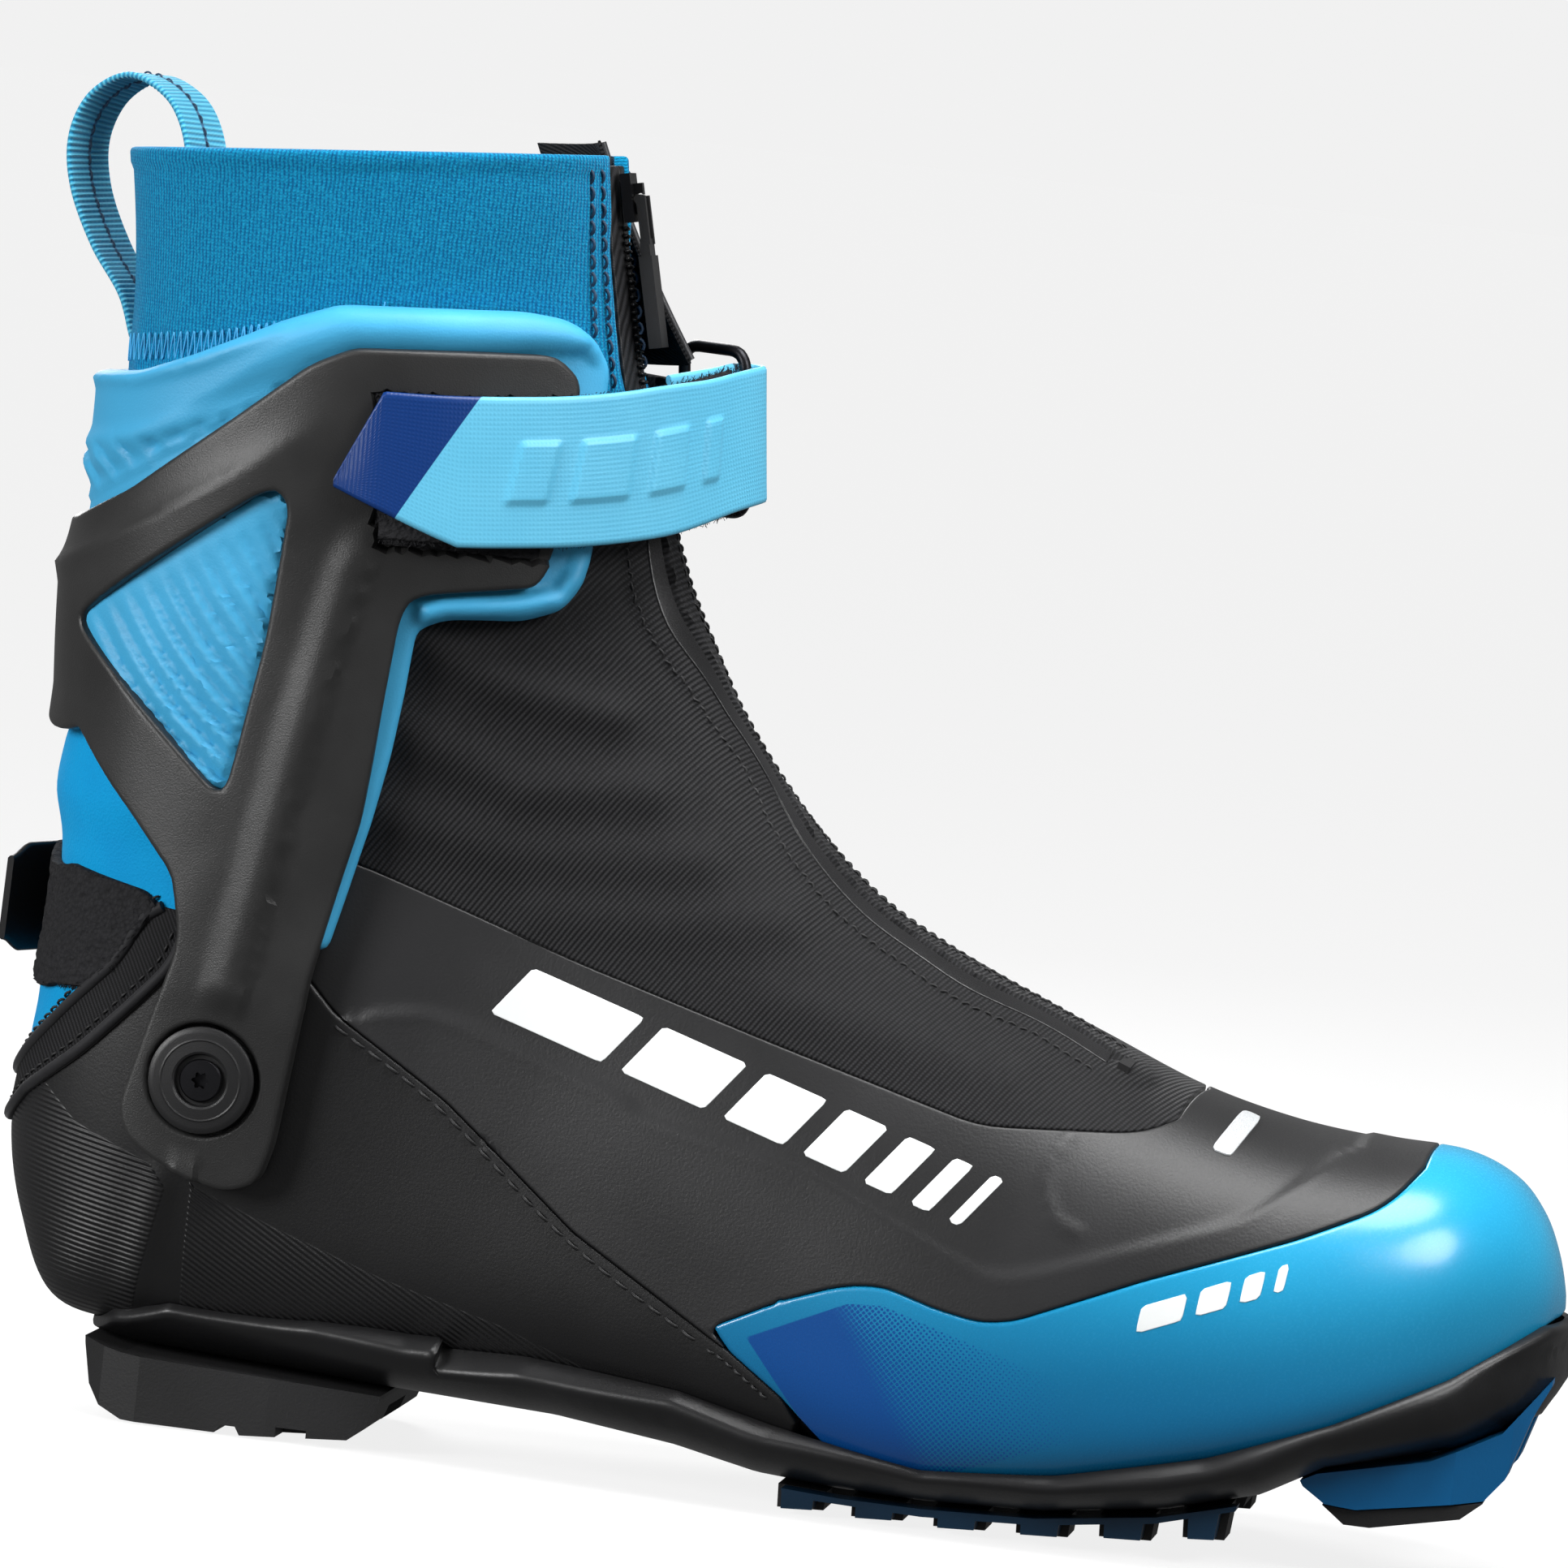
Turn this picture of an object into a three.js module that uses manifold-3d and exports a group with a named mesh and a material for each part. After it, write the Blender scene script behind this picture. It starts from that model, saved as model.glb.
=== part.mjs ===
// Skate-style cross country ski boot, right foot.
// Millimetres, +X to the toe, +Z up, the outer (lateral) side of the boot faces -Y.
import * as THREE from 'three';
import Module from 'manifold-3d';
import { mergeVertices } from 'three/addons/utils/BufferGeometryUtils.js';

const wasm = await Module();
wasm.setup();

// ---------------------------------------------------------------- driving dimensions
const gap = 0.3;                // clearance kept between touching pieces
const shell = 2.5;              // thickness of the outer upper
const linerOut = -3.0;          // liner, outer face, measured from the outer surface of the upper
const linerIn = -5.6;           // liner, inner face
const padIn = 0.7;              // foam cuff pad over the soft upper
const padOut = 4.4;
const frameIn = 4.8;            // cuff frame over the pad
const frameOut = 8.3;
const armIn = 2.4;              // lower part of the arms, where there is no pad
const armOut = 7.4;
const recess = 6.2;             // frame thickness level under the hook patch
const pivot = { x: 42.8, z: 69.3, face: 38.2, wall: 35.1, cap: 10.5, bush: 6.2, screw: 2.5, head: 4.3 };
const toeBarAt = { x: 294, z: 23.5, radius: 1.75 };
const flexMax = 20;             // forward travel of the cuff, degrees
const strapWide = 29;
const webWide = 10.5;           // pull loop webbing
const lateral = -1;
const medial = 1;

// The last: each section runs in a plane from a bottom or back point to a top or front point.
// [top x, top z, bottom x, bottom z, half width, centre y, widest height share, lower and upper fullness]
const sections = [
  [304.8, 57, 304.6, 48, 4, 4, 0.50, 2.0, 2.0],        // toe tip
  [302.6, 64, 302.6, 44.5, 13, 4, 0.45, 2.4, 2.1],
  [299, 71, 299, 41.5, 20.5, 4, 0.40, 2.8, 2.2],
  [293, 77, 293, 37.5, 28.5, 3.8, 0.36, 3.2, 2.3],
  [283, 80.8, 283, 31.5, 36, 3, 0.33, 3.6, 2.4],
  [268, 81.5, 268, 24.5, 42, 2, 0.31, 4.0, 2.4],
  [250, 83.4, 250, 18, 46, 1, 0.30, 4.2, 2.3],
  [231, 88, 228, 12.4, 48, 0, 0.29, 4.4, 2.2],         // ball of the foot
  [212, 95.5, 206, 8.4, 48.5, -0.8, 0.28, 4.4, 2.1],
  [190, 104.5, 182, 7.3, 46.5, -1.5, 0.28, 4.4, 2.0],
  [167, 115.5, 152, 12.5, 41.5, -2, 0.29, 4.4, 2.0],   // instep
  [148, 131, 118, 17, 37.5, -1.5, 0.31, 4.2, 2.0],
  [134, 148, 86, 17.8, 34.5, -0.8, 0.34, 4.0, 2.0],
  [126, 162, 56, 16, 33.5, 0, 0.37, 3.8, 2.0],
  [121, 172.5, 30, 17, 33.5, 0, 0.40, 3.4, 2.0],
  [117.3, 181, 12, 20, 34, 0, 0.43, 3.0, 2.0],         // heel
  [114.7, 188, 3.5, 35, 34.5, 0, 0.46, 2.7, 2.0],
  [112.5, 194.5, -0.6, 52, 34.5, 0, 0.48, 2.5, 2.0],
  [110.5, 201, 0.6, 70, 34.5, 0, 0.50, 2.3, 2.0],
  [108, 210, 3, 96, 34.5, 0, 0.50, 2.2, 2.0],          // ankle
  [105.5, 220, 2.8, 122, 35, 0, 0.50, 2.1, 2.0],
  [103.5, 229, 3.8, 147, 36, 0, 0.50, 2.1, 2.0],
  [101.8, 236, 5.5, 170, 37.5, 0, 0.50, 2.1, 2.0],
  [100.6, 242, 6.6, 191, 38.5, 0, 0.50, 2.1, 2.0],
  [99.7, 246.5, 6, 211, 39.5, 0, 0.50, 2.1, 2.0],
  [99.1, 250, 4.4, 229, 40, 0, 0.50, 2.1, 2.0],
  [98.5, 254, 2.4, 246, 40.5, 0, 0.50, 2.1, 2.0],      // collar rim
  [97.9, 258, 0.4, 263, 41, 0, 0.50, 2.1, 2.0],
];
const lastEnd = sections.length - 1;

// side outlines, x and z
const frameOutline = [
  [-20, 172.5], [0.9, 173.6], [13.9, 180.5], [34.9, 196.5], [50.1, 208.8], [58, 212.6], [95.4, 215.3],
  [100, 211], [99.6, 178], [96.5, 170.5], [76.7, 167.2], [73, 165.6], [71.6, 161], [70.2, 143],
  [61.6, 96], [50, 96], [34.5, 98], [32, 108], [22.1, 118.5], [6.7, 133.1], [-20, 133.1],
];
const armOutline = [
  [70.6, 147], [68.4, 122], [61.6, 91.6], [57.5, 57.6], [55.2, 50], [49.2, 47.8], [42.2, 49.3], [34, 52.6],
  [28, 56.5], [26.2, 62], [30.5, 78.8], [34.5, 93], [35.3, 99], [46, 112], [52, 147],
];
const frameWindow = [
  [48.4, 181], [46, 184.3], [42, 182.6], [6, 155.6], [5.5, 153.5], [7, 151.5], [38.1, 125.9], [40, 125],
  [41.4, 126.5], [42.6, 133], [46.2, 155], [47.4, 169],
];
const padOutline = [
  [-20, 201], [3.2, 201.9], [14.9, 203.5], [26.1, 208], [43.5, 216.6], [53.6, 220.3], [89.6, 222.8],
  [96, 222.3], [101, 219], [104, 214], [105.2, 178], [104, 171.5], [101, 166.5], [94, 163.8], [79.7, 162.5],
  [74.5, 160], [73.6, 148], [50, 148], [44, 121], [38, 120.5], [12, 136], [-20, 141],
];
const patchOutline = [[61.5, 205.5], [64.6, 175.3], [96, 175.3], [97.5, 206.5]];
const diagonalSeam = [[66, 84.5], [89.5, 70.3], [117.5, 48.7], [151, 30], [161.7, 22.8], [169, 0]];
const twillEdge = [
  [45, 119], [69, 113.3], [111, 100], [154, 88.6], [193, 78.7], [223, 80.4], [231, 84], [229, 100],
];
const toeCapEdge = [
  [277, 100], [277, 79], [256, 64.6], [228.6, 54], [205, 43], [190, 44], [175, 46.5], [160, 42], [144, 33.5],
];
const counterTop = [[66, 84.5], [50, 101], [36, 97.5], [25, 80.7], [4, 61], [-20, 52]];
const soleTop = [
  [308, 57], [302, 51], [288, 40.5], [267, 30], [244, 21], [216, 14.3], [190, 12], [160, 16.5], [141, 20.5],
  [110, 22.5], [88, 21], [70, 17.5], [45, 16.8], [26, 18], [12, 22],
];
const soleBottom = [
  [16, 15.5], [30, 13.2], [62, 12], [80, 11.2], [116, 10.4], [141, 8], [158, 5], [174, 4.2], [190, 4.2],
  [212, 5.2], [235, 8.4], [252, 13], [264, 19.5], [285, 24.5], [298, 31], [306, 41.5], [310, 50],
];

// colour, roughness and metalness
const colours = {
  foam: [0x4ba5d7, 0.6, 0],
  elastic: [0x0e86bd, 0.9, 0],
  strap: [0x62b9e6, 0.45, 0],
  blue: [0x1f95d2, 0.35, 0],
  softshell: [0x0a90dc, 0.85, 0],
  frame: [0x323030, 0.5, 0],
  twill: [0x2b2b2b, 0.9, 0],
  film: [0x262626, 0.5, 0],
  rubber: [0x1a1a1a, 0.8, 0],
  pile: [0x141414, 1, 0],
  steel: [0x9a9a9a, 0.35, 1],
  dark: [0x202020, 0.4, 0.6],
  carbon: [0x222225, 0.4, 0],
  felt: [0x55585c, 0.95, 0],
  grey: [0xbdbdbd, 0.4, 0],
  board: [0x8a8378, 0.9, 0],
};

// ---------------------------------------------------------------- the last surface
function sectionAt(s) {
  const at = THREE.MathUtils.clamp(s, 0, lastEnd);
  const i = Math.min(Math.floor(at), lastEnd - 1);
  const f = at - i;
  const before = sections[Math.max(i - 1, 0)];
  const after = sections[Math.min(i + 2, lastEnd)];
  return sections[i].map((p1, k) => {
    const p2 = sections[i + 1][k];
    const p0 = i > 0 ? before[k] : 2 * p1 - p2;
    const p3 = i + 2 <= lastEnd ? after[k] : 2 * p2 - p1;
    const bend = 2 * p0 - 5 * p1 + 4 * p2 - p3;
    return 0.5 * (2 * p1 + (p2 - p0) * f + bend * f * f + (3 * p1 - p0 - 3 * p2 + p3) * f ** 3);
  });
}

// phi is 0 at the bottom or back, PI at the top or front, and passes the lateral side between them
function bare(s, phi) {
  const [tx, tz, bx, bz, wide, cy, widest, low, high] = sectionAt(s);
  const c = Math.cos(phi);
  const a = Math.abs(Math.sin(phi));
  const side = Math.sin(phi) >= 0 ? lateral : medial;
  const y = wide * a ** (2 / (c >= 0 ? low : high));
  const h = c >= 0 ? widest * (1 - c ** (2 / low)) : widest + (1 - widest) * (-c) ** (2 / high);
  return new THREE.Vector3(bx + (tx - bx) * h, cy + side * y, bz + (tz - bz) * h);
}

function onLast(s, phi, offset) {
  const d = 1e-3;
  const along = bare(Math.min(s + 0.05, lastEnd), phi).sub(bare(Math.max(s - 0.05, 0), phi));
  const round = bare(s, phi + d).sub(bare(s, phi - d));
  return bare(s, phi).addScaledVector(along.cross(round).normalize(), -offset * facing);
}
// sign that makes a positive offset point out of the boot, taken at the outer ankle
let facing = 1;
facing = onLast(18, Math.PI / 2, 1).y < bare(18, Math.PI / 2).y ? 1 : -1;

// the section and angle of a point seen from the side
function fromSide(x, z, side) {
  const miss = (s) => {
    const [tx, tz, bx, bz] = sectionAt(s);
    return (tx - bx) * (z - bz) - (tz - bz) * (x - bx);
  };
  const share = (s) => {
    const [tx, tz, bx, bz] = sectionAt(s);
    return ((x - bx) * (tx - bx) + (z - bz) * (tz - bz)) / ((tx - bx) ** 2 + (tz - bz) ** 2);
  };
  for (let i = 0; i < lastEnd * 6; i++) {
    let low = i / 6;
    let high = (i + 1) / 6;
    if (miss(low) * miss(high) > 0) continue;
    for (let k = 0; k < 30; k++) {
      const mid = (low + high) / 2;
      if (miss(low) * miss(mid) <= 0) high = mid;
      else low = mid;
    }
    const h = share(low);
    if (h < -0.2 || h > 1.2) continue;
    const [, , , , , , widest, lowFull, highFull] = sectionAt(low);
    const t = THREE.MathUtils.clamp(h, 0.001, 0.999);
    const c = t <= widest
      ? (1 - t / widest) ** (lowFull / 2)
      : -(((t - widest) / (1 - widest)) ** (highFull / 2));
    return { s: low, phi: (side === lateral ? 1 : -1) * Math.acos(c) };
  }
  throw new Error(`no last section at ${x} ${z}`);
}

function onSide(x, z, side, offset) {
  const at = fromSide(x, z, side);
  return onLast(at.s, at.phi, offset);
}

// ---------------------------------------------------------------- solids
// a grid of points joined round in one or both directions, capped at open ends
function gridGeometry(rows, closedRows = false) {
  const count = rows[0].length;
  const flat = rows.flat().flatMap((p) => [p.x, p.y, p.z]);
  const index = [];
  const last = closedRows ? rows.length : rows.length - 1;
  for (let i = 0; i < last; i++) {
    const next = (i + 1) % rows.length;
    for (let j = 0; j < count; j++) {
      const k = (j + 1) % count;
      const [a, b] = [i * count + j, i * count + k];
      const [c, d] = [next * count + j, next * count + k];
      index.push(a, c, d, a, d, b);
    }
  }
  if (!closedRows) {
    for (const [row, flip] of [[0, true], [rows.length - 1, false]]) {
      const centre = rows[row].reduce((sum, p) => sum.add(p), new THREE.Vector3()).divideScalar(count);
      flat.push(centre.x, centre.y, centre.z);
      const hub = flat.length / 3 - 1;
      for (let j = 0; j < count; j++) {
        const a = row * count + j;
        const b = row * count + ((j + 1) % count);
        index.push(...(flip ? [a, b, hub] : [b, a, hub]));
      }
    }
  }
  const geometry = new THREE.BufferGeometry();
  geometry.setAttribute('position', new THREE.Float32BufferAttribute(flat, 3));
  geometry.setIndex(index);
  return outward(geometry);
}

function outward(geometry) {
  const at = geometry.getAttribute('position');
  const index = geometry.getIndex().array;
  const [a, b, c] = [new THREE.Vector3(), new THREE.Vector3(), new THREE.Vector3()];
  let volume = 0;
  for (let i = 0; i < index.length; i += 3) {
    a.fromBufferAttribute(at, index[i]);
    b.fromBufferAttribute(at, index[i + 1]);
    c.fromBufferAttribute(at, index[i + 2]);
    volume += a.dot(b.cross(c));
  }
  if (volume < 0) geometry.setIndex(Array.from(index).reverse());
  return geometry;
}

function solid(geometry) {
  const bareGeometry = geometry.clone();
  bareGeometry.deleteAttribute('normal');
  bareGeometry.deleteAttribute('uv');
  const merged = mergeVertices(bareGeometry, 1e-4);
  const vertProperties = new Float32Array(merged.getAttribute('position').array);
  const triVerts = new Uint32Array(merged.getIndex().array);
  return new wasm.Manifold(new wasm.Mesh({ numProp: 3, vertProperties, triVerts }));
}

function joined(solids) {
  return solids.reduce((sum, next) => sum.add(next));
}

// the boot's full volume at an offset from its outer surface
const bodies = new Map();
function body(offset, fine = true) {
  const key = `${offset} ${fine}`;
  if (bodies.has(key)) return bodies.get(key);
  const around = fine ? 20 : 14;
  const steps = fine ? lastEnd : 18;
  const rows = [];
  for (let i = 0; i <= steps; i++) {
    const s = (i * lastEnd) / steps;
    rows.push(Array.from({ length: around }, (_, j) => onLast(s, (2 * Math.PI * j) / around, offset)));
  }
  bodies.set(key, solid(gridGeometry(rows)));
  return bodies.get(key);
}

function layer(inner, outer) {
  return body(outer).subtract(body(inner, inner > -1));
}

// a side outline carried across the boot, from y0 to y1
function across(outline, y0 = -80, y1 = 80) {
  const shape = new THREE.Shape(outline.map(([x, z]) => new THREE.Vector2(x, z)));
  const geometry = new THREE.ExtrudeGeometry(shape, { depth: y1 - y0, bevelEnabled: false });
  geometry.rotateX(Math.PI / 2);
  geometry.translate(0, y1, 0);
  return solid(geometry);
}

// a plan outline carried up, from z0 to z1
function upright(outline, z0, z1) {
  const shape = new THREE.Shape(outline.map(([x, y]) => new THREE.Vector2(x, y)));
  const geometry = new THREE.ExtrudeGeometry(shape, { depth: z1 - z0, bevelEnabled: false });
  geometry.translate(0, 0, z0);
  return solid(geometry);
}

function block(x0, x1, y0, y1, z0, z1) {
  const geometry = new THREE.BoxGeometry(x1 - x0, y1 - y0, z1 - z0);
  geometry.translate((x0 + x1) / 2, (y0 + y1) / 2, (z0 + z1) / 2);
  return solid(geometry);
}

// a turned piece about a line along Y through the pivot; the profile is radius and distance from the middle
function turned(profile, side, parts = 20) {
  const points = profile.map(([r, y]) => new THREE.Vector2(r, y));
  const geometry = new THREE.LatheGeometry(points, parts);
  if (side === lateral) geometry.rotateX(Math.PI);
  geometry.translate(pivot.x, 0, pivot.z);
  geometry.deleteAttribute('normal');
  geometry.deleteAttribute('uv');
  return solid(outward(mergeVertices(geometry, 1e-4)));
}

// a slab with one face on a surface, thick towards or away from it
function slab(surface, nu, nv, thick) {
  const d = 1e-3;
  const faces = [[], []];
  for (let i = 0; i <= nu; i++) {
    for (let j = 0; j <= nv; j++) {
      const u = i / nu;
      const v = j / nv;
      const du = surface(Math.min(u + d, 1), v).sub(surface(Math.max(u - d, 0), v));
      const dv = surface(u, Math.min(v + d, 1)).sub(surface(u, Math.max(v - d, 0)));
      const normal = du.cross(dv).normalize();
      faces[0].push(surface(u, v));
      faces[1].push(surface(u, v).addScaledVector(normal, thick));
    }
  }
  const rows = [];
  for (let i = 0; i <= nu; i++) {
    const start = i * (nv + 1);
    rows.push([...faces[0].slice(start, start + nv + 1), ...faces[1].slice(start, start + nv + 1).reverse()]);
  }
  return solid(gridGeometry(rows));
}

// a flat band that follows a line of points; "across" is the direction of its width
function band(points, width, thick, acrossDirection, steps) {
  const curve = new THREE.CatmullRomCurve3(points.map((p) => new THREE.Vector3(...p)), false, 'centripetal');
  const wide = new THREE.Vector3(...acrossDirection).normalize();
  const surface = (u, v) => curve.getPoint(u).addScaledVector(wide, (v - 0.5) * width);
  return slab(surface, steps, 1, thick);
}

function rod(points, radius, sides, steps) {
  const curve = new THREE.CatmullRomCurve3(points, false, 'centripetal');
  const section = Array.from({ length: sides }, (_, i) => {
    const turn = (2 * Math.PI * i) / sides;
    return new THREE.Vector2(radius * Math.cos(turn), radius * Math.sin(turn));
  });
  const geometry = new THREE.ExtrudeGeometry(new THREE.Shape(section), { steps, extrudePath: curve });
  return solid(geometry);
}

// ---------------------------------------------------------------- cuff and foot, where the upper divides
// Everything is measured round the pivot, so that the two never meet while the cuff turns.
function ringPoint(radius, degrees) {
  const turn = THREE.MathUtils.degToRad(degrees);
  return [pivot.x + radius * Math.cos(turn), pivot.z + radius * Math.sin(turn)];
}

function arc(radius, from, to) {
  const steps = Math.max(1, Math.round(Math.abs(to - from) / 7));
  return Array.from({ length: steps + 1 }, (_, i) => ringPoint(radius, from + ((to - from) * i) / steps));
}

const turn = {
  shaftFront: 62, heelFront: 90, underFrame: 112, heelBack: 119.5, back: 150,
  frontRadius: 110, sideRadius: 53, backRadius: 75, far: 320,
};

function cuffZone() {
  const { shaftFront, heelFront, underFrame, heelBack, back } = turn;
  const { frontRadius, sideRadius, backRadius, far } = turn;
  return across([
    ...arc(frontRadius, shaftFront, heelFront), ...arc(sideRadius, heelFront, underFrame),
    ...arc(backRadius, heelBack, back), ...arc(far, back, shaftFront),
  ]);
}

function sweptZone() {
  const { shaftFront, heelFront, underFrame, heelBack, back } = turn;
  const { frontRadius, sideRadius, backRadius, far } = turn;
  const slack = 0.7;
  const padLip = 3;
  const flanks = across([
    ...arc(frontRadius - slack, shaftFront - flexMax, heelFront - flexMax - 1),
    ...arc(sideRadius - padLip, heelFront - flexMax - 1, underFrame),
    ...arc(backRadius - slack, heelBack, back),
    ...arc(far, back, shaftFront - flexMax),
  ]);
  const low = shaftFront - flexMax - 5;
  const high = 57.5;
  const ridge = across([...arc(frontRadius - 1, low, high), ...arc(far, high, low)], -15, 15);
  return flanks.subtract(ridge);
}
const swept = sweptZone();

// ---------------------------------------------------------------- upper, on the foot
const zipLine = { low: -13.2, mid: -9.5, high: -5.8 };
const zipPath = [[215, 60], [216, 110], [160, 160], [112, 210], [80, 170], [150, 100], [200, 80]];

function counterArea(grow = 0) {
  const top = counterTop.map(([x, z]) => [x, z + grow]);
  const seam = diagonalSeam.map(([x, z]) => [x + grow, z + grow]);
  return across([...top, [-20, -40], [169 + grow, -40], ...seam.slice().reverse().slice(0, -1)]);
}

function toeArea(grow = 0) {
  const edge = toeCapEdge.map(([x, z]) => [x - grow, z + grow]);
  return across([...edge, [144 - grow, 20], [169 - grow, 0], [169 - grow, -40], [340, -40], [340, 100]]);
}

function twillArea(grow = 0) {
  const edge = twillEdge.map(([x, z]) => [x + (x > 200 ? grow : 0), z - grow]);
  return across([...edge, [229 + grow, 300], [45, 300]]);
}

const rearArea = across([[45 - gap, 60], [45 - gap, 300], [-40, 300], [-40, 40]]);

function heelCounter() {
  return body(0.6).subtract(body(-shell, false)).intersect(counterArea());
}

function toeCap() {
  return body(0.5).subtract(body(-shell, false)).intersect(toeArea()).subtract(counterArea(gap));
}

function vampOverlay() {
  const front = across([[45, -60], [340, -60], [340, 300], [45, 300]]);
  return layer(-shell, 0).intersect(front).subtract(counterArea(gap)).subtract(toeArea(gap))
    .subtract(twillArea(gap));
}

function vampTwill() {
  const zipSlot = across(zipPath, zipLine.low - gap, zipLine.high + gap);
  return layer(-shell, 0).intersect(twillArea()).subtract(swept).subtract(zipSlot);
}

function ankleSoftshell() {
  return layer(-shell, -0.2).intersect(rearArea).subtract(counterArea(gap)).subtract(swept);
}

function zipHalf(y0, y1) {
  return layer(-2.1, -0.5).intersect(across(zipPath, y0, y1)).intersect(twillArea()).subtract(swept);
}

function counterPiping() {
  const line = [[36.5, 101.2], [30.5, 98.5], [22, 87], [13, 77], [3, 67.5], [-14, 60]];
  const shape = [...line, ...line.map(([x, z]) => [x + 2.4, z - 3.6]).reverse()];
  return layer(0.9, 2.1).intersect(across(shape));
}

const strip = 12;
function liner() {
  const front = across([[40, 70], [205, 60], [205, 130], [100, 260]], -strip - gap, strip + gap);
  const floor = upright(footPlan(-6), -20, 60).intersect(across(bottomBand(13)));
  return body(linerOut, false).subtract(body(linerIn, false)).subtract(swept)
    .subtract(across([[-60, 126], [340, 126], [340, 320], [-60, 320]])).subtract(front).subtract(floor);
}

function tongue() {
  const area = across([[60, 100], [203, 60], [203, 130], [150, 170], [113, 206], [96, 200]], -strip, strip);
  return body(-9, false).subtract(body(-11.3, false)).intersect(area);
}

// the quicklace zigzags down the tongue and back up over itself, between two facings, to its lock
const laceRows = [190, 178, 166, 155, 145, 137];
function ridgePoint(x, y, offset) {
  const at = fromSide(x, ridgeHeight(x) - 0.5, lateral);
  return onLast(at.s, Math.PI + Math.asin(y / 36), offset);
}
function ridgeHeight(x) {
  let s = 4;
  while (sectionAt(s)[0] > x) s += 0.05;
  return sectionAt(s)[1];
}
function quicklace() {
  const down = laceRows.slice().reverse().map((x, i) => ridgePoint(x, i % 2 ? 6 : -6, -6));
  const back = laceRows.map((x, i) => ridgePoint(x + 1.5, i % 2 ? -6 : 6, -4.7));
  return rod([ridgePoint(134, -1.5, -5.8), ...down, ...back, ridgePoint(134, 1.5, -5)], 0.5, 6, 50);
}
function laceFacing(y0, y1) {
  const area = across([[200, 60], [200, 130], [150, 180], [130, 150], [150, 110]], y0, y1);
  return body(-3.1, false).subtract(body(-5.2, false)).intersect(area);
}
function laceLock() {
  const centre = ridgePoint(129, 0, -6);
  const geometry = new THREE.BoxGeometry(6, 8, 2);
  geometry.rotateY(THREE.MathUtils.degToRad(57));
  geometry.translate(centre.x, centre.y, centre.z);
  return solid(geometry);
}

function reflectiveMark() {
  const [topRear, topFront, lowFront, lowRear] = [[240.3, 84.2], [243.6, 83.4], [240.4, 78.2], [237.2, 78.8]];
  const between = (a, b, t) => a.map((value, i) => THREE.MathUtils.lerp(value, b[i], t));
  const surface = (u, v) => {
    const [x, z] = between(between(topRear, topFront, u), between(lowRear, lowFront, u), v);
    return onSide(x, z, lateral, 0.4);
  };
  return slab(surface, 2, 5, -0.5);
}

function zipTack() {
  const centre = ridgePoint(217.5, zipLine.mid, 0.5);
  const geometry = new THREE.BoxGeometry(2.4, 8, 1.4);
  geometry.rotateX(0.12);
  geometry.rotateY(0.36);
  geometry.translate(centre.x, centre.y, centre.z);
  return solid(geometry).subtract(body(0.3));
}

// ---------------------------------------------------------------- sole
// plan outline of the last at the seam, grown by a margin
function footPlan(grow) {
  const x0 = 14 - Math.min(grow, 0);
  const x1 = 304 + 2 * Math.min(grow, 0);
  const xs = [];
  for (let x = x0; x < x1; x += x > 270 ? 5 : 14) xs.push(x);
  const seamHeight = (x) => {
    const line = soleTop.slice().reverse();
    const i = line.findIndex(([lx]) => lx >= x);
    const [[ax, az], [bx, bz]] = [line[i - 1], line[i]];
    return az + ((bz - az) * (x - ax)) / (bx - ax);
  };
  const edge = (side) => xs.map((x) => [x, onSide(x, seamHeight(x) + 2, side, 0).y + side * grow]);
  const heelEnd = x0 - 5 - Math.max(grow, 0);
  const toeEnd = x1 + 3 + Math.max(grow, 0);
  const [outer, inner] = [edge(lateral), edge(medial)];
  return [
    [heelEnd, outer[0][1] * 0.45], ...outer, [toeEnd - 1.5, -4], [toeEnd, 4], [toeEnd - 1.5, 12],
    ...inner.slice().reverse(), [heelEnd, inner[0][1] * 0.45],
  ];
}

// a band that follows the foot's bottom line, from well below it up to a height above it
function bottomBand(rise) {
  const line = sections.slice(1, 16).map(([, , x, z]) => [x, z + rise]);
  return [...line, [12, -40], [302, -40]];
}

// the chassis is narrow under the heel and comes out into a rand along the shank and forefoot
const chassisPlan = [[20, -9], [24, -20], [34, -25], [64, -28], [92, -60], [330, -60]];
function soleVolume() {
  const mirrored = chassisPlan.map(([x, y]) => [x, -y]).reverse();
  return upright(footPlan(1.6), -20, 80).intersect(upright([...chassisPlan, ...mirrored], -20, 80))
    .intersect(across([...soleTop, ...soleBottom])).subtract(body(0.9));
}

function shankPlate() {
  const plan = upright(shankPlan(0), -20, 80);
  return body(0.4, false).translate([0, 0, -1.8]).intersect(plan).intersect(across(bottomBand(1)))
    .subtract(body(0.9));
}

function shankPlan(grow) {
  const edge = (side) => [[24 - grow, side * 16], [60, side * 18], [150, side * 25], [176 + grow, side * 27]];
  return [...edge(lateral), ...edge(medial).reverse()].map(([x, y]) => [x, y + Math.sign(y) * grow]);
}

function soleChassis() {
  const nest = body(0.4, false).translate([0, 0, -2.1]).intersect(upright(shankPlan(1), -20, 80))
    .intersect(across(bottomBand(1)));
  return soleVolume().subtract(nest);
}

function lastingBoard() {
  const lifted = body(-2.8, false);
  return lifted.subtract(lifted.translate([0, 0, 1.4])).intersect(upright(footPlan(-8), -20, 60))
    .intersect(across(bottomBand(8)));
}

function insole() {
  const floor = body(-2.8, false).translate([0, 0, 1.7]);
  return floor.subtract(floor.translate([0, 0, 3.6])).intersect(upright(footPlan(-8), -20, 60))
    .intersect(across(bottomBand(12)));
}

// the toe spring: how far the tread stands off the ground
const springFrom = 186;
const ground = (x) => (x > springFrom ? (x - springFrom) ** 2 / 800 : 0);

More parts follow.
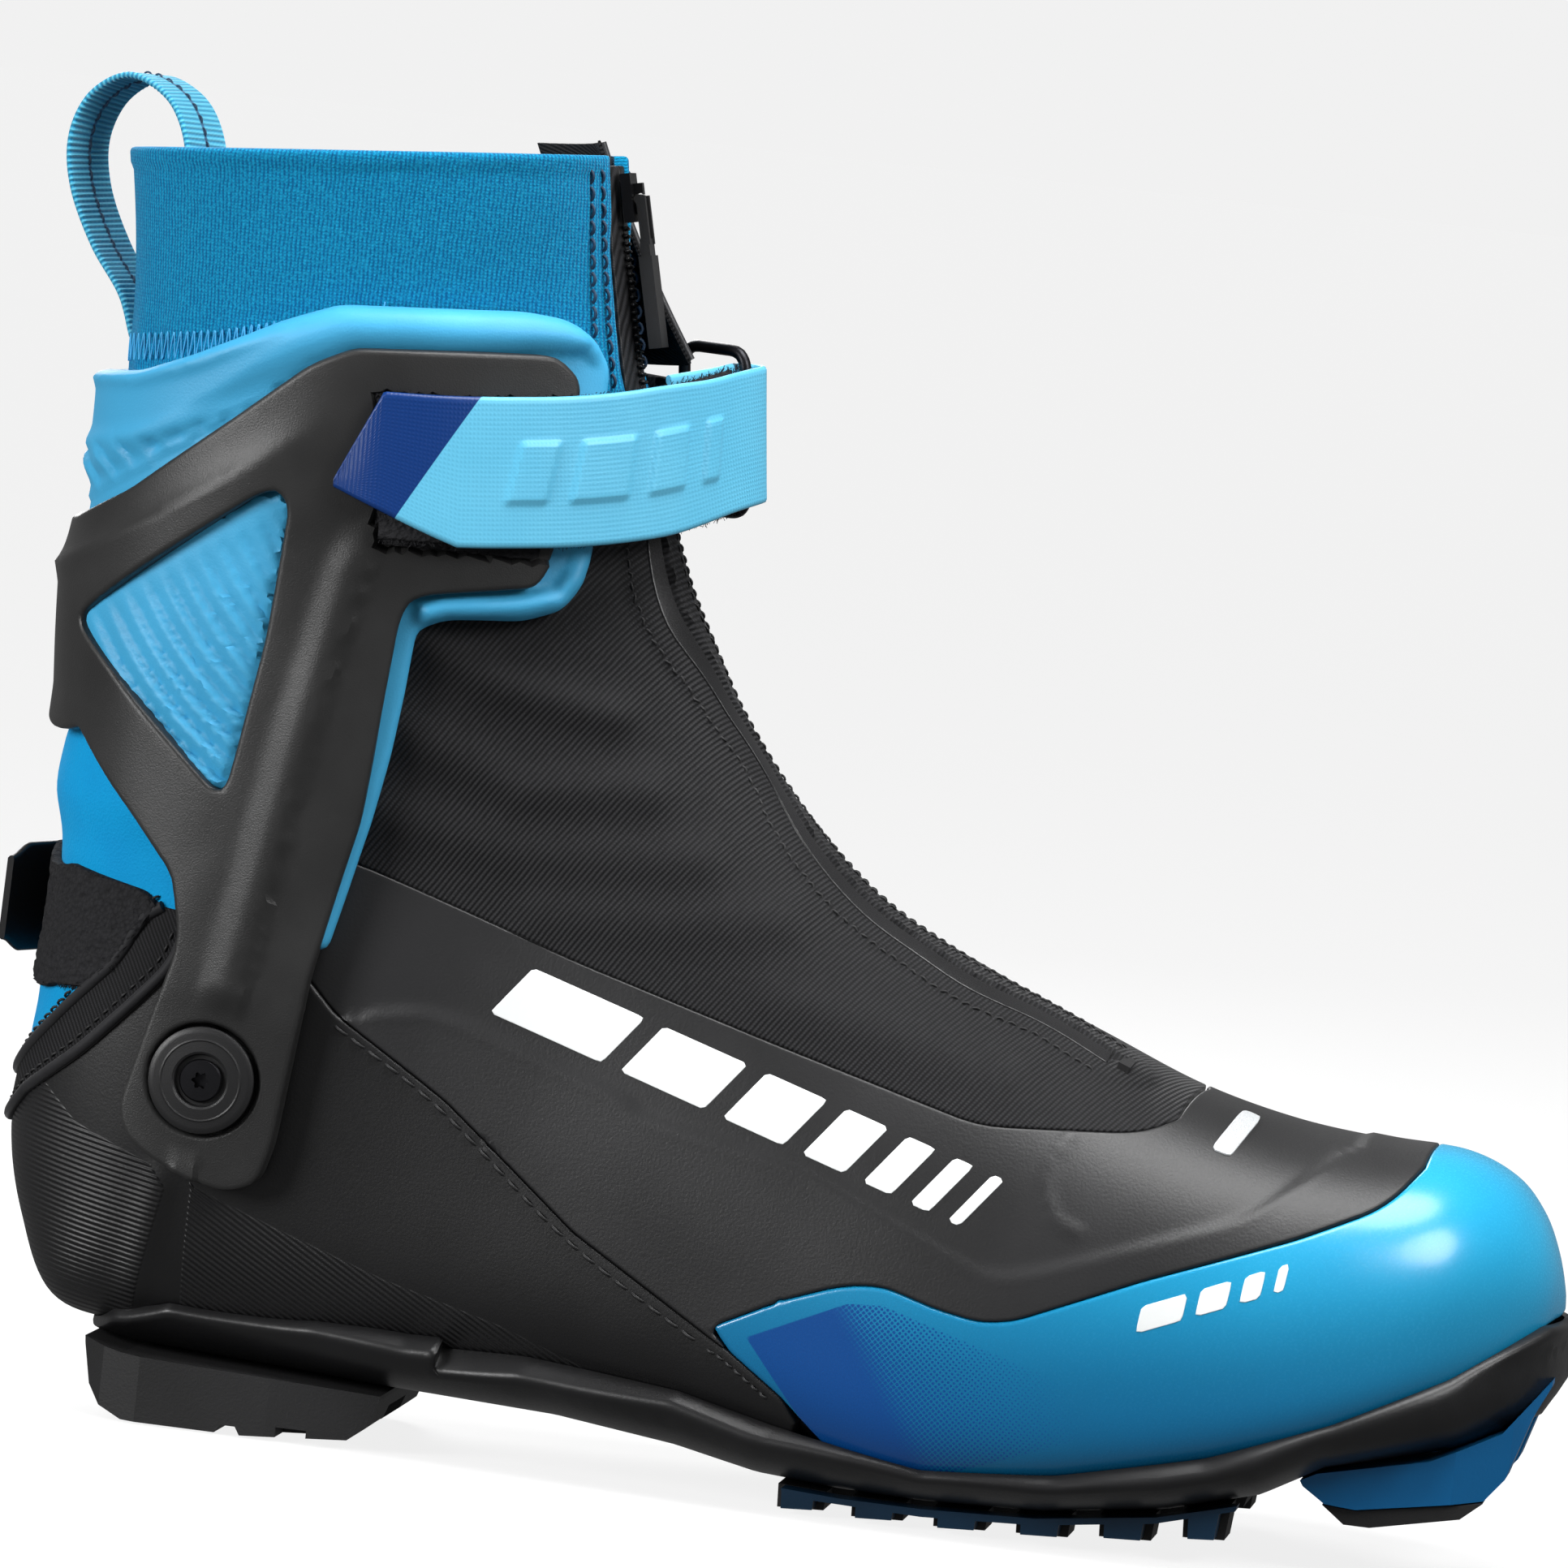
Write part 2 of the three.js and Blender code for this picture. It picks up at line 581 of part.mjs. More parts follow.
function heelBlock() {
  const side = [
    [19.5, 24], [21, 13], [23, 5.5], [26, 2], [31, 0], [50, 0], [51, 1.6], [54, 1.6], [55, 0], [76, 1.6],
    [79.5, 4.5], [81.5, 10], [83, 20],
  ];
  const plan = upright([
    [18, -10], [20, -18], [26, -25], [34, -28.5], [60, -28.5], [84, -27], [84, 27], [60, 28.5], [34, 28.5],
    [26, 25], [20, 18], [18, 10],
  ], -20, 40);
  const hollow = joined([
    block(58, 90, -9, 9, -5, 7), block(36, 50, -4, 4, -5, 4),
    block(62, 68, -40, -20, -5, 2.5), block(62, 68, 20, 40, -5, 2.5),
  ]);
  return across(side).intersect(plan).subtract(soleUnder()).subtract(body(0.9)).subtract(hollow);
}

// everything above the chassis's underside, for cutting the pieces below it
function soleUnder() {
  const line = soleBottom.map(([x, z]) => [x, z - gap]);
  return across([[-10, 15.5 - gap], ...line, [330, 50], [330, 200], [-10, 200]]);
}

const lugRows = [
  { x: 166, long: 9 }, { x: 181, long: 10 }, { x: 197, long: 10 }, { x: 213, long: 10 }, { x: 229, long: 10 },
  { x: 244, long: 8 },
];
function lugPair(x, long, y0, y1) {
  const foot = ground(x);
  const half = long / 2;
  const shape = [[x - half - 1, 20], [x - half, foot], [x + half, foot + 0.4], [x + half + 1.5, 20]];
  return joined([across(shape, -y1, -y0), across(shape, y0, y1)]);
}

function forefootTread() {
  const rails = [[160, 12], [162, 2.2], [190, 1.2], [212, 2.8], [235, 6], [250, 10], [253, 20], [160, 20]];
  const railPair = joined([across(rails, -19.5, -13), across(rails, 13, 19.5)]);
  const crossBars = joined([
    across([[160, 12], [162, 2.2], [168, 2], [170, 12]], -14, 14),
    across([[240, 20], [242, 7.8], [250, 10], [253, 20]], -14, 14),
  ]);
  const lugs = joined(lugRows.map(({ x, long }) => lugPair(x, long, 19, 30)));
  return joined([railPair, crossBars, lugs]).subtract(soleUnder());
}

// the coloured comb along each edge of the forefoot, just proud of the lugs' sides
function treadInsert(side) {
  const strip = [[161, 12], [163, 3], [190, 2.4], [212, 3.6], [235, 6.9], [250, 11.2], [252, 20], [161, 20]];
  const edges = [side * (30 + gap), side * 36].sort((a, b) => a - b);
  const teeth = lugRows.map(({ x, long }) => {
    const foot = ground(x) + 0.6;
    const half = long / 2 - 1.5;
    const tooth = [[x - half - 1, 20], [x - half, foot], [x + half, foot + 0.4], [x + half + 1.5, 20]];
    return across(tooth, ...edges);
  });
  return joined([across(strip, ...edges), ...teeth]).subtract(soleUnder());
}

const toeSlot = { y: 10, x: 284 };
function toeBlock() {
  const side = [
    [258, 22], [261.5, 16.5], [266, 13.6], [272, 13.2], [296, 17.6], [299.5, 22], [303.2, 34], [306, 40],
    [306, 46], [290, 42], [268, 30],
  ];
  const plan = upright([
    [256, -27], [290, -27], [300, -22], [308, -12], [308, 14], [300, 24], [290, 28], [256, 28],
  ], -20, 80);
  const slot = across([[toeSlot.x, -10], [toeSlot.x, 27], [310, 36], [310, -10]], -toeSlot.y, toeSlot.y + 1);
  return across(side).intersect(plan).subtract(soleUnder()).subtract(slot).subtract(toeBarHole());
}

function toeTread() {
  const side = [[265.5, 13.3], [270, 10], [275, 10], [292, 13.8], [296, 17.3], [272, 12.9]];
  const slot = block(toeSlot.x - 0.5, 310, -toeSlot.y - 0.5, toeSlot.y + 1.5, 0, 40);
  return across(side, -26, 27).subtract(slot);
}

function toeCylinder(radius, y0, y1) {
  const geometry = new THREE.CylinderGeometry(radius, radius, y1 - y0, 16);
  geometry.translate(toeBarAt.x, (y0 + y1) / 2, toeBarAt.z);
  return solid(geometry);
}
function toeBarHole() {
  return toeCylinder(toeBarAt.radius + 0.2, -18, 19);
}
function toeBar() {
  return toeCylinder(toeBarAt.radius, -17.5, 18.5);
}

// ---------------------------------------------------------------- cuff pivot
function pivotBush(side) {
  const { face, cap, bush, screw, head } = pivot;
  const stem = face - 2.5;
  const outer = face + 4.9;
  return turned([
    [screw + gap, stem], [bush, stem], [bush, outer - 1.8], [cap, outer - 1.8], [cap, outer - 0.8],
    [cap - 0.8, outer], [head + 1, outer], [head + 0.8, outer - 1.6], [screw + gap, outer - 1.6], [screw + gap, stem],
  ], side);
}
function pivotScrew(side) {
  const { face, screw, head } = pivot;
  const outer = face + 4.6;
  const socket = 1.6;
  return turned([
    [0, face - 9.5], [screw, face - 9.5], [screw, outer - 1], [head, outer - 1], [head, outer - 0.1],
    [socket, outer - 0.1], [socket, outer - 1.7], [0, outer - 1.7],
  ], side, 12);
}
function pivotNut(side) {
  const { screw } = pivot;
  const base = pivot.wall - 6.4;
  return turned([
    [screw + 0.1, base], [8, base], [8, base + 1.2], [4, base + 1.2], [4, pivot.wall],
    [screw + 0.1, pivot.wall], [screw + 0.1, base],
  ], side, 12);
}

function pivotBore(radius, side, y0 = 20, y1 = 60) {
  return turned([[0, y0], [radius, y0], [radius, y1], [0, y1]], side);
}
function pivotCuts(radius) {
  return pivotBore(radius, lateral).add(pivotBore(radius, medial));
}

// ---------------------------------------------------------------- cuff
function cuffFrame() {
  const upper = layer(frameIn, frameOut).intersect(across(frameOutline)).subtract(across(frameWindow));
  const arms = layer(armIn, armOut).intersect(across(armOutline)).subtract(across(padOutline));
  const bosses = [lateral, medial].map((side) => turned(
    [[0, pivot.face - 1.2], [14.5, pivot.face - 1.2], [14.5, pivot.face + 2.6], [0, pivot.face + 2.6]], side,
  ));
  const patch = body(frameOut + 4).subtract(body(recess)).intersect(across(patchOutline, -80, 0));
  return joined([upper, arms, ...bosses]).subtract(patch).subtract(body(armIn - 0.2))
    .subtract(pivotBore(40, lateral, pivot.face + 2.8, 70).add(pivotBore(40, medial, pivot.face + 2.8, 70)))
    .subtract(pivotCuts(pivot.bush + 0.2)).subtract(padRoom());
}

// what the pad takes up under the pieces that lie over it
function padRoom() {
  return across(padOutline).intersect(body(padOut + gap));
}

function cuffPad() {
  return layer(padIn, padOut).intersect(across(padOutline));
}

function hookPatch() {
  const inset = patchOutline.map(([x, z]) => [x + (x < 80 ? 0.6 : -0.6), z + (z < 190 ? 0.6 : -0.6)]);
  return layer(recess + 0.2, recess + 1.6).intersect(across(inset, -80, 0));
}

const collarSplit = 200;
const rim = [[-40, 242], [2, 245.6], [60, 250.8], [110, 255.5]];
function shaftSoftshell() {
  const area = across([[-40, 0], [200, 0], [200, collarSplit], [-40, collarSplit]]);
  return layer(-shell, -0.2).intersect(cuffZone()).intersect(area);
}

const collarFront = { lateralEdge: -9.5, medialEdge: 4 };
function elasticCollar() {
  const area = across([[-40, collarSplit + gap], [200, collarSplit + gap], ...rim.slice().reverse()]);
  const opening = block(70, 150, collarFront.lateralEdge, collarFront.medialEdge, 190, 270);
  return layer(-2.2, 0).intersect(cuffZone()).intersect(area).subtract(opening);
}

function collarZip(y0, y1) {
  const area = across([[70, 206], [120, 206], [120, 256], [98, 254], [70, 251.5]], y0, y1);
  return layer(-1.9, -0.3).intersect(cuffZone()).intersect(area);
}

// black gusset on the medial side of the collar zip, standing away from it towards its lower edge
function collarGusset() {
  const surface = (u, v) => {
    const z = 257 - 41 * u;
    const x = 93 + 17.5 * u + 5 * u * u - 15 * v ** 2;
    return new THREE.Vector3(x, 5 + 17 * v + 2 * u * v, z - 2 * v);
  };
  return slab(surface, 6, 4, -1.1).subtract(body(0.4)).subtract(padRoom());
}

// webbing loop, from inside the collar over its rim and down behind it
function pullLoop() {
  const route = [
    [14, 20.5, 222], [12.6, 21.8, 238], [10.4, 24, 248.6], [5, 28, 256], [-4, 33, 259.8], [-12, 36.5, 255],
    [-15.5, 37.5, 246], [-14, 37, 236], [-8, 34, 225], [-0.5, 29.6, 216], [3.2, 27, 208],
  ];
  const wall = body(0.3).subtract(body(-2.6)).intersect(across([[-60, 0], [60, 0], [60, 251], [2, 246], [-60, 242.5]]));
  return band(route, webWide, 1.2, [0.62, 0.78, 0], 22).subtract(wall).subtract(padRoom());
}

// ---------------------------------------------------------------- cuff strap and its ring
const bar = { inner: [113.8, 15.5], outer: [127.4, 6.2], low: 187.5, high: 219, lean: -0.11, wire: 1.2 };
function barPoint([x, y], z) {
  return new THREE.Vector3(x + bar.lean * (z - 203), y, z);
}

function strapRing() {
  const path = [];
  const corner = 4;
  const [ix, iy] = bar.inner;
  const [ox, oy] = bar.outer;
  const wide = Math.hypot(ox - ix, oy - iy);
  const halfHigh = (bar.high - bar.low) / 2;
  for (const [sx, sz] of [[1, 1], [-1, 1], [-1, -1], [1, -1]]) {
    for (let i = 0; i <= 4; i++) {
      const start = sx > 0 ? (sz > 0 ? 0 : 270) : (sz > 0 ? 90 : 180);
      const angle = THREE.MathUtils.degToRad(start + i * 22.5);
      path.push([
        sx * (wide / 2 - corner) + corner * Math.cos(angle), sz * (halfHigh - corner) + corner * Math.sin(angle),
      ]);
    }
  }
  const middle = barPoint([(ix + ox) / 2, (iy + oy) / 2], 203.25);
  const along = new THREE.Vector3((ox - ix) / wide, (oy - iy) / wide, 0);
  const up = new THREE.Vector3(bar.lean, 0, 1).normalize();
  const out = along.clone().cross(up).normalize();
  const rows = path.map(([a, b], i) => {
    const [pa, pb] = path[(i + path.length - 1) % path.length];
    const [na, nb] = path[(i + 1) % path.length];
    const tangent = new THREE.Vector2(na - pa, nb - pb).normalize();
    const side = along.clone().multiplyScalar(tangent.y).addScaledVector(up, -tangent.x);
    const centre = middle.clone().addScaledVector(along, a).addScaledVector(up, b);
    return Array.from({ length: 8 }, (_, k) => {
      const spin = (2 * Math.PI * k) / 8;
      const aside = bar.wire * Math.cos(spin);
      return centre.clone().addScaledVector(side, aside).addScaledVector(out, bar.wire * Math.sin(spin));
    });
  });
  return solid(gridGeometry(rows, true));
}

// the strap's middle line, from its tip on the hook patch round the ring's outer bar and back
function cuffStrap() {
  const [ox, oy] = bar.outer;
  const line = [
    [57, -46.2, 190.5], [66, -46.3, 190.8], [78, -43.8, 191.3], [90, -38.6, 192.3], [102, -31.2, 193.8],
    [113, -21.8, 196.2], [122, -11.5, 199.4], [128.2, -1.5, 202.2],
    [ox + 3.2, oy - 1, 203.3], [ox + 2.6, oy + 2.2, 203.4], [ox, oy + 3.3, 203.4], [ox - 2.6, oy + 2.2, 203.3],
    [ox - 3.1, oy - 1, 203.1], [122.4, -5, 202.2], [116.5, -13.2, 200.4],
  ];
  const curve = new THREE.CatmullRomCurve3(line.map((p) => new THREE.Vector3(...p)), false, 'centripetal');
  const lean = new THREE.Vector3(bar.lean, 0, 1).normalize();
  // the tip is a blunt point, and the end round the ring is narrower, clear of the ring's corners
  const surface = (u, v) => {
    const tip = Math.min(1, 0.12 + u / 0.1);
    const end = 1 - 0.08 * THREE.MathUtils.smoothstep(u, 0.5, 0.66);
    const shift = (1 - tip) * -0.12 * strapWide;
    return curve.getPoint(u).addScaledVector(lean, (v - 0.5) * tip * end * strapWide + shift);
  };
  return slab(surface, 34, 1, 1.5);
}

function ringTab() {
  const [ix, iy] = bar.inner;
  const route = [
    [97, 35, 203], [104, 29.5, 203], [109.5, 21.5, 203], [ix - 1.4, iy + 2.9, 203], [ix + 1.2, iy + 2.6, 203],
    [ix + 2.6, iy + 0.4, 203], [ix + 1.4, iy - 2.2, 203], [ix - 1.6, iy - 2.2, 203], [107.6, 17.4, 203],
  ];
  return band(route, 18, -1, [bar.lean, 0, 1], 20).subtract(padRoom())
    .subtract(body(frameOut + gap).intersect(across(frameOutline)));
}

// ---------------------------------------------------------------- zip slider and pull
const slider = { x: 99.6, y: -2.75, z: 246.5, lean: 13 };
function leaned(geometry, x, y, z) {
  geometry.rotateY(THREE.MathUtils.degToRad(-slider.lean));
  geometry.translate(x, y, z);
  return solid(geometry);
}
function zipSlider() {
  const plate = leaned(new THREE.BoxGeometry(2, 8.4, 9.5), slider.x + 1.6, slider.y, slider.z);
  const bridge = leaned(new THREE.BoxGeometry(2.4, 2.4, 6), slider.x + 3.2, slider.y, slider.z);
  return plate.add(bridge).subtract(body(0.2)).subtract(pullEye(1.2));
}
function pullEye(radius) {
  const geometry = new THREE.CylinderGeometry(radius, radius, 12, 8);
  geometry.translate(slider.x + 3.6, slider.y, slider.z);
  return solid(geometry);
}
function zipPull() {
  const eye = new THREE.CylinderGeometry(0.9, 0.9, 6.4, 8);
  eye.translate(slider.x + 3.6, slider.y, slider.z);
  const legs = [lateral, medial].map((side) => {
    const leg = new THREE.BoxGeometry(1.8, 1.4, 9.5);
    return leaned(leg, slider.x + 5, slider.y + side * 2.5, slider.z - 4);
  });
  const neck = leaned(new THREE.BoxGeometry(1.8, 6.4, 3.5), slider.x + 6, slider.y, slider.z - 9.3);
  const grip = leaned(new THREE.BoxGeometry(2.6, 8, 18), slider.x + 8.3, slider.y, slider.z - 19.6);
  return joined([solid(eye), ...legs, neck, grip]);
}

// ---------------------------------------------------------------- heel strap
function heelBand() {
  const area = across([[29.5, 101], [26, 103.5], [9, 106], [-20, 109], [-20, 86.5], [9, 82.5], [15, 83], [22, 89]]);
  const reach = block(-30, 60, -60, 19, 60, 130);
  return layer(0.3, 1.9).intersect(area).intersect(reach);
}
const tabHinge = { x: 16.5, y: 31.4 };
const tabWide = 22;
function heelAnchor() {
  const route = [[30, 38.6, 97], [25, 37.6, 97], [21, 35.6, 97], [tabHinge.x + 0.4, tabHinge.y + 0.3, 97]];
  return band(route, tabWide, -1.4, [0.08, 0, 1], 5).subtract(body(2.3));
}
function heelTab() {
  const route = [[tabHinge.x - 0.9, tabHinge.y - 1, 97], [8.5, 23.8, 97], [1, 14.6, 96.8], [-4, 7, 96.4], [-8, 0, 96]];
  return band(route, tabWide, -1.4, [0.08, 0, 1], 8).subtract(body(2.2));
}

// ---------------------------------------------------------------- assembly
const boot = new THREE.Group();

function add(name, piece, colour, tolerance = 0.1) {
  const kept = piece.decompose().filter((part) => part.volume() > 3);
  const clean = joined(kept).simplify(tolerance);
  const mesh = clean.getMesh();
  const geometry = new THREE.BufferGeometry();
  geometry.setAttribute('position', new THREE.Float32BufferAttribute(mesh.vertProperties, 3));
  geometry.setIndex(Array.from(mesh.triVerts));
  const [hex, roughness, metalness] = colours[colour];
  const material = new THREE.MeshStandardMaterial({ color: hex, roughness, metalness, flatShading: true });
  const node = new THREE.Mesh(geometry, material);
  node.name = name;
  boot.add(node);
}

// sole
add('sole_chassis', soleChassis(), 'rubber');
add('shank_plate', shankPlate(), 'carbon');
add('heel_block', heelBlock(), 'rubber');
add('forefoot_tread', forefootTread(), 'rubber');
add('tread_insert_lateral', treadInsert(lateral), 'blue');
add('tread_insert_medial', treadInsert(medial), 'blue');
add('toe_block', toeBlock(), 'blue');
add('toe_tread', toeTread(), 'rubber');
add('toe_bar', toeBar(), 'steel');

// foot
const bores = pivotCuts(4 + 0.2);
add('heel_counter', heelCounter().subtract(bores), 'film');
add('toe_cap', toeCap(), 'blue');
add('vamp_overlay', vampOverlay(), 'film');
add('vamp_twill', vampTwill(), 'twill');
add('ankle_softshell', ankleSoftshell(), 'softshell');
add('counter_piping', counterPiping(), 'twill');
add('liner', liner().subtract(pivotCuts(8.6)), 'felt', 0.2);
add('tongue', tongue(), 'felt', 0.2);
add('quicklace', quicklace(), 'twill');
add('lace_facing_lateral', laceFacing(-11.8, -9), 'dark');
add('lace_facing_medial', laceFacing(9, 11.8), 'dark');
add('lace_lock', laceLock(), 'dark');
add('lasting_board', lastingBoard(), 'board', 0.2);
add('insole', insole(), 'felt', 0.2);
add('reflective_mark', reflectiveMark(), 'grey');
add('zip_tape_lateral', zipHalf(zipLine.low, zipLine.mid - gap / 2), 'twill');
add('zip_tape_medial', zipHalf(zipLine.mid + gap / 2, zipLine.high), 'twill');
add('zip_tack', zipTack(), 'twill');
add('heel_strap_band', heelBand(), 'pile');
add('heel_strap_anchor', heelAnchor(), 'pile');
add('heel_strap_tab', heelTab(), 'pile');
for (const [name, side] of [['lateral', lateral], ['medial', medial]]) {
  add(`pivot_bush_${name}`, pivotBush(side), 'frame');
  add(`pivot_screw_${name}`, pivotScrew(side), 'dark');
  add(`pivot_nut_${name}`, pivotNut(side), 'steel');
}

// cuff
add('cuff_frame', cuffFrame(), 'frame');
add('cuff_pad', cuffPad(), 'foam');
add('hook_patch', hookPatch(), 'pile');
add('shaft_softshell', shaftSoftshell(), 'softshell');
add('elastic_collar', elasticCollar(), 'elastic');
add('collar_zip_lateral', collarZip(collarFront.lateralEdge + gap, slider.y - gap / 2), 'twill');
add('collar_zip_medial', collarZip(slider.y + gap / 2, collarFront.medialEdge - gap), 'twill');
add('collar_gusset', collarGusset(), 'twill');
add('pull_loop', pullLoop(), 'strap');
add('ring_tab', ringTab(), 'pile');
add('strap_ring', strapRing(), 'dark');
add('cuff_strap', cuffStrap(), 'strap');
add('zip_slider', zipSlider(), 'dark');
add('zip_pull', zipPull(), 'dark');

// origin: middle of the footprint of the whole boot, on the surface that it stands on
const bounds = new THREE.Box3().setFromObject(boot);
boot.position.set(-(bounds.min.x + bounds.max.x) / 2, -(bounds.min.y + bounds.max.y) / 2, -bounds.min.z);

export default boot;
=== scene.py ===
"""Skate-style cross country ski boot, right foot: its visible pieces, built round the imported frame.

Lengths are in millimetres in the last's own axes (x from the heel to the toe, z up from the floor, the outer side
at -y) until placed() turns them into metres in the row's frame."""

import math

import bmesh
import bpy
import numpy as np
from mathutils import Matrix, Vector
from mathutils.geometry import delaunay_2d_cdt
from mathutils.kdtree import KDTree


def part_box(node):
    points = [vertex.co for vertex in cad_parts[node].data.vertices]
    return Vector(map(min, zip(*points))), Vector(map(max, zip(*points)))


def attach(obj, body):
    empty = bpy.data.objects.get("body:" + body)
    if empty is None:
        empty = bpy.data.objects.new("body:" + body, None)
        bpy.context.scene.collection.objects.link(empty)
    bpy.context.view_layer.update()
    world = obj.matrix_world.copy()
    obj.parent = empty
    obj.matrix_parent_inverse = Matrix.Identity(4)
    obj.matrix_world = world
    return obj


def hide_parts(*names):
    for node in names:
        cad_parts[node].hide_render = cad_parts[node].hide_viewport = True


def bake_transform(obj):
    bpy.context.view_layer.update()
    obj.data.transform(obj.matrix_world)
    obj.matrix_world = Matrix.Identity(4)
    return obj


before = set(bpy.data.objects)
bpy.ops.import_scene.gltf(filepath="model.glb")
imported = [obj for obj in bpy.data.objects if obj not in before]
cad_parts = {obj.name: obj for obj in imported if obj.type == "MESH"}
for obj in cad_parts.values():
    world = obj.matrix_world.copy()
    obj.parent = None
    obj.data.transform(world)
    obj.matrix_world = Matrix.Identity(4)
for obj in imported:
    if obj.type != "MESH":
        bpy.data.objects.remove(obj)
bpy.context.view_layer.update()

# ---------------------------------------------------------------- driving dimensions
PIVOT = (42.8, 69.3)            # cuff pivot, x and z
PIVOT_FACE = 38.2               # its bearing face, from the boot's middle
SKIN_IN = -2.2                  # inner face of the outer upper, from its surface
PAD_IN, PAD_OUT = 0.7, 4.4      # foam cuff pad
FRAME_IN, FRAME_OUT = 4.8, 8.3  # cuff frame
ARM_IN = 2.4                    # inner face of the frame's arms
RECESS = 6.2                    # floor of the hook patch's recess
COLLAR_SPLIT = 200              # where the knitted collar is sewn to the shaft
STRAP_WIDE = 29
SIDES = ((1, "lateral"), (-1, "medial"))

# The last: [top x, top z, bottom x, bottom z, half width, centre y, widest height share, lower, upper fullness]
SECTIONS = np.array([
    [305.3, 52.8, 305.3, 52.2, 0.1, 4, 0.50, 2.0, 2.0],
    [304.8, 57, 304.6, 48, 4, 4, 0.50, 2.0, 2.0],        # toe tip
    [302.6, 64, 302.6, 44.5, 13, 4, 0.45, 2.4, 2.1],
    [299, 71, 299, 41.5, 20.5, 4, 0.40, 2.8, 2.2],
    [293, 77, 293, 37.5, 28.5, 3.8, 0.36, 3.2, 2.3],
    [283, 80.8, 283, 31.5, 36, 3, 0.33, 3.6, 2.4],
    [268, 81.5, 268, 24.5, 42, 2, 0.31, 4.0, 2.4],
    [250, 83.4, 250, 18, 46, 1, 0.30, 4.2, 2.3],
    [231, 88, 228, 12.4, 48, 0, 0.29, 4.4, 2.2],         # ball of the foot
    [212, 95.5, 206, 8.4, 48.5, -0.8, 0.28, 4.4, 2.1],
    [190, 104.5, 182, 7.3, 46.5, -1.5, 0.28, 4.4, 2.0],
    [167, 115.5, 152, 12.5, 41.5, -2, 0.29, 4.4, 2.0],   # instep
    [148, 131, 118, 17, 37.5, -1.5, 0.31, 4.2, 2.0],
    [134, 148, 86, 17.8, 34.5, -0.8, 0.34, 4.0, 2.0],
    [126, 162, 56, 16, 33.5, 0, 0.37, 3.8, 2.0],
    [121, 172.5, 30, 17, 33.5, 0, 0.40, 3.4, 2.0],
    [117.3, 181, 12, 20, 34, 0, 0.43, 3.0, 2.0],         # heel
    [114.7, 188, 3.5, 35, 34.5, 0, 0.46, 2.7, 2.0],
    [112.5, 194.5, -0.6, 52, 34.5, 0, 0.48, 2.5, 2.0],
    [110.5, 201, 0.6, 70, 34.5, 0, 0.50, 2.3, 2.0],
    [108, 210, 3, 96, 34.5, 0, 0.50, 2.2, 2.0],          # ankle
    [105.5, 220, 2.8, 122, 35, 0, 0.50, 2.1, 2.0],
    [103.5, 229, 3.8, 147, 36, 0, 0.50, 2.1, 2.0],
    [101.8, 236, 5.5, 170, 37.5, 0, 0.50, 2.1, 2.0],
    [100.6, 242, 6.6, 191, 38.5, 0, 0.50, 2.1, 2.0],
    [99.7, 246.5, 6, 211, 39.5, 0, 0.50, 2.1, 2.0],
    [99.1, 250, 4.4, 229, 40, 0, 0.50, 2.1, 2.0],
    [98.5, 254, 2.4, 246, 40.5, 0, 0.50, 2.1, 2.0],      # collar rim
    [97.9, 258, 0.4, 263, 41, 0, 0.50, 2.1, 2.0],
])
LAST = len(SECTIONS) - 1
HEEL_ROW = 16                   # the first section whose lower end lies on the back of the boot

# ---------------------------------------------------------------- the row's frame
bush_low, bush_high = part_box("pivot_bush_lateral")
bar_low, bar_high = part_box("toe_bar")
ORIGIN = np.array([
    (bush_low.x + bush_high.x) / 2 - PIVOT[0] / 1000,
    (bar_low.y + bar_high.y) / 2 - 0.5 / 1000,
    0,
])


def placed(points):
    """Points of the last, in millimetres, as points of the row's frame, in metres."""
    return np.asarray(points, float) / 1000 + ORIGIN


def round_turn(count):
    """Equal angles once round a circle."""
    return np.linspace(0, 2 * math.pi, count, endpoint=False)


# ---------------------------------------------------------------- the last surface
def through(p0, p1, p2, p3, t):
    """The point at the share t between p1 and p2, on a smooth curve through four points."""
    square, cube = 2 * p0 - 5 * p1 + 4 * p2 - p3, 3 * p1 - p0 - 3 * p2 + p3
    return 0.5 * (2 * p1 + (p2 - p0) * t + square * t * t + cube * t ** 3)


def section_at(s):
    """The nine values of SECTIONS at s, which may lie between two rows."""
    s = np.clip(np.asarray(s, float), 0, LAST)
    i = np.minimum(s.astype(int), LAST - 1)
    f = (s - i)[..., None]
    p1, p2 = SECTIONS[i], SECTIONS[i + 1]
    p0 = np.where((i > 0)[..., None], SECTIONS[np.maximum(i - 1, 0)], 2 * p1 - p2)
    p3 = np.where((i + 2 <= LAST)[..., None], SECTIONS[np.minimum(i + 2, LAST)], 2 * p2 - p1)
    return through(p0, p1, p2, p3, f)


def bare(s, phi):
    """The upper's outer surface. phi is 0 at the bottom or back and pi at the top or front, by the lateral side."""
    s, phi = np.broadcast_arrays(np.asarray(s, float), np.asarray(phi, float))
    tx, tz, bx, bz, wide, cy, widest, low, high = np.moveaxis(section_at(s), -1, 0)
    c, a = np.cos(phi), np.abs(np.sin(phi))
    side = np.where(np.sin(phi) >= 0, -1.0, 1.0)
    y = wide * a ** (2 / np.where(c >= 0, low, high))
    h = np.where(c >= 0, widest * (1 - np.abs(c) ** (2 / low)), widest + (1 - widest) * np.abs(c) ** (2 / high))
    return np.stack([bx + (tx - bx) * h, cy + side * y, bz + (tz - bz) * h], -1)


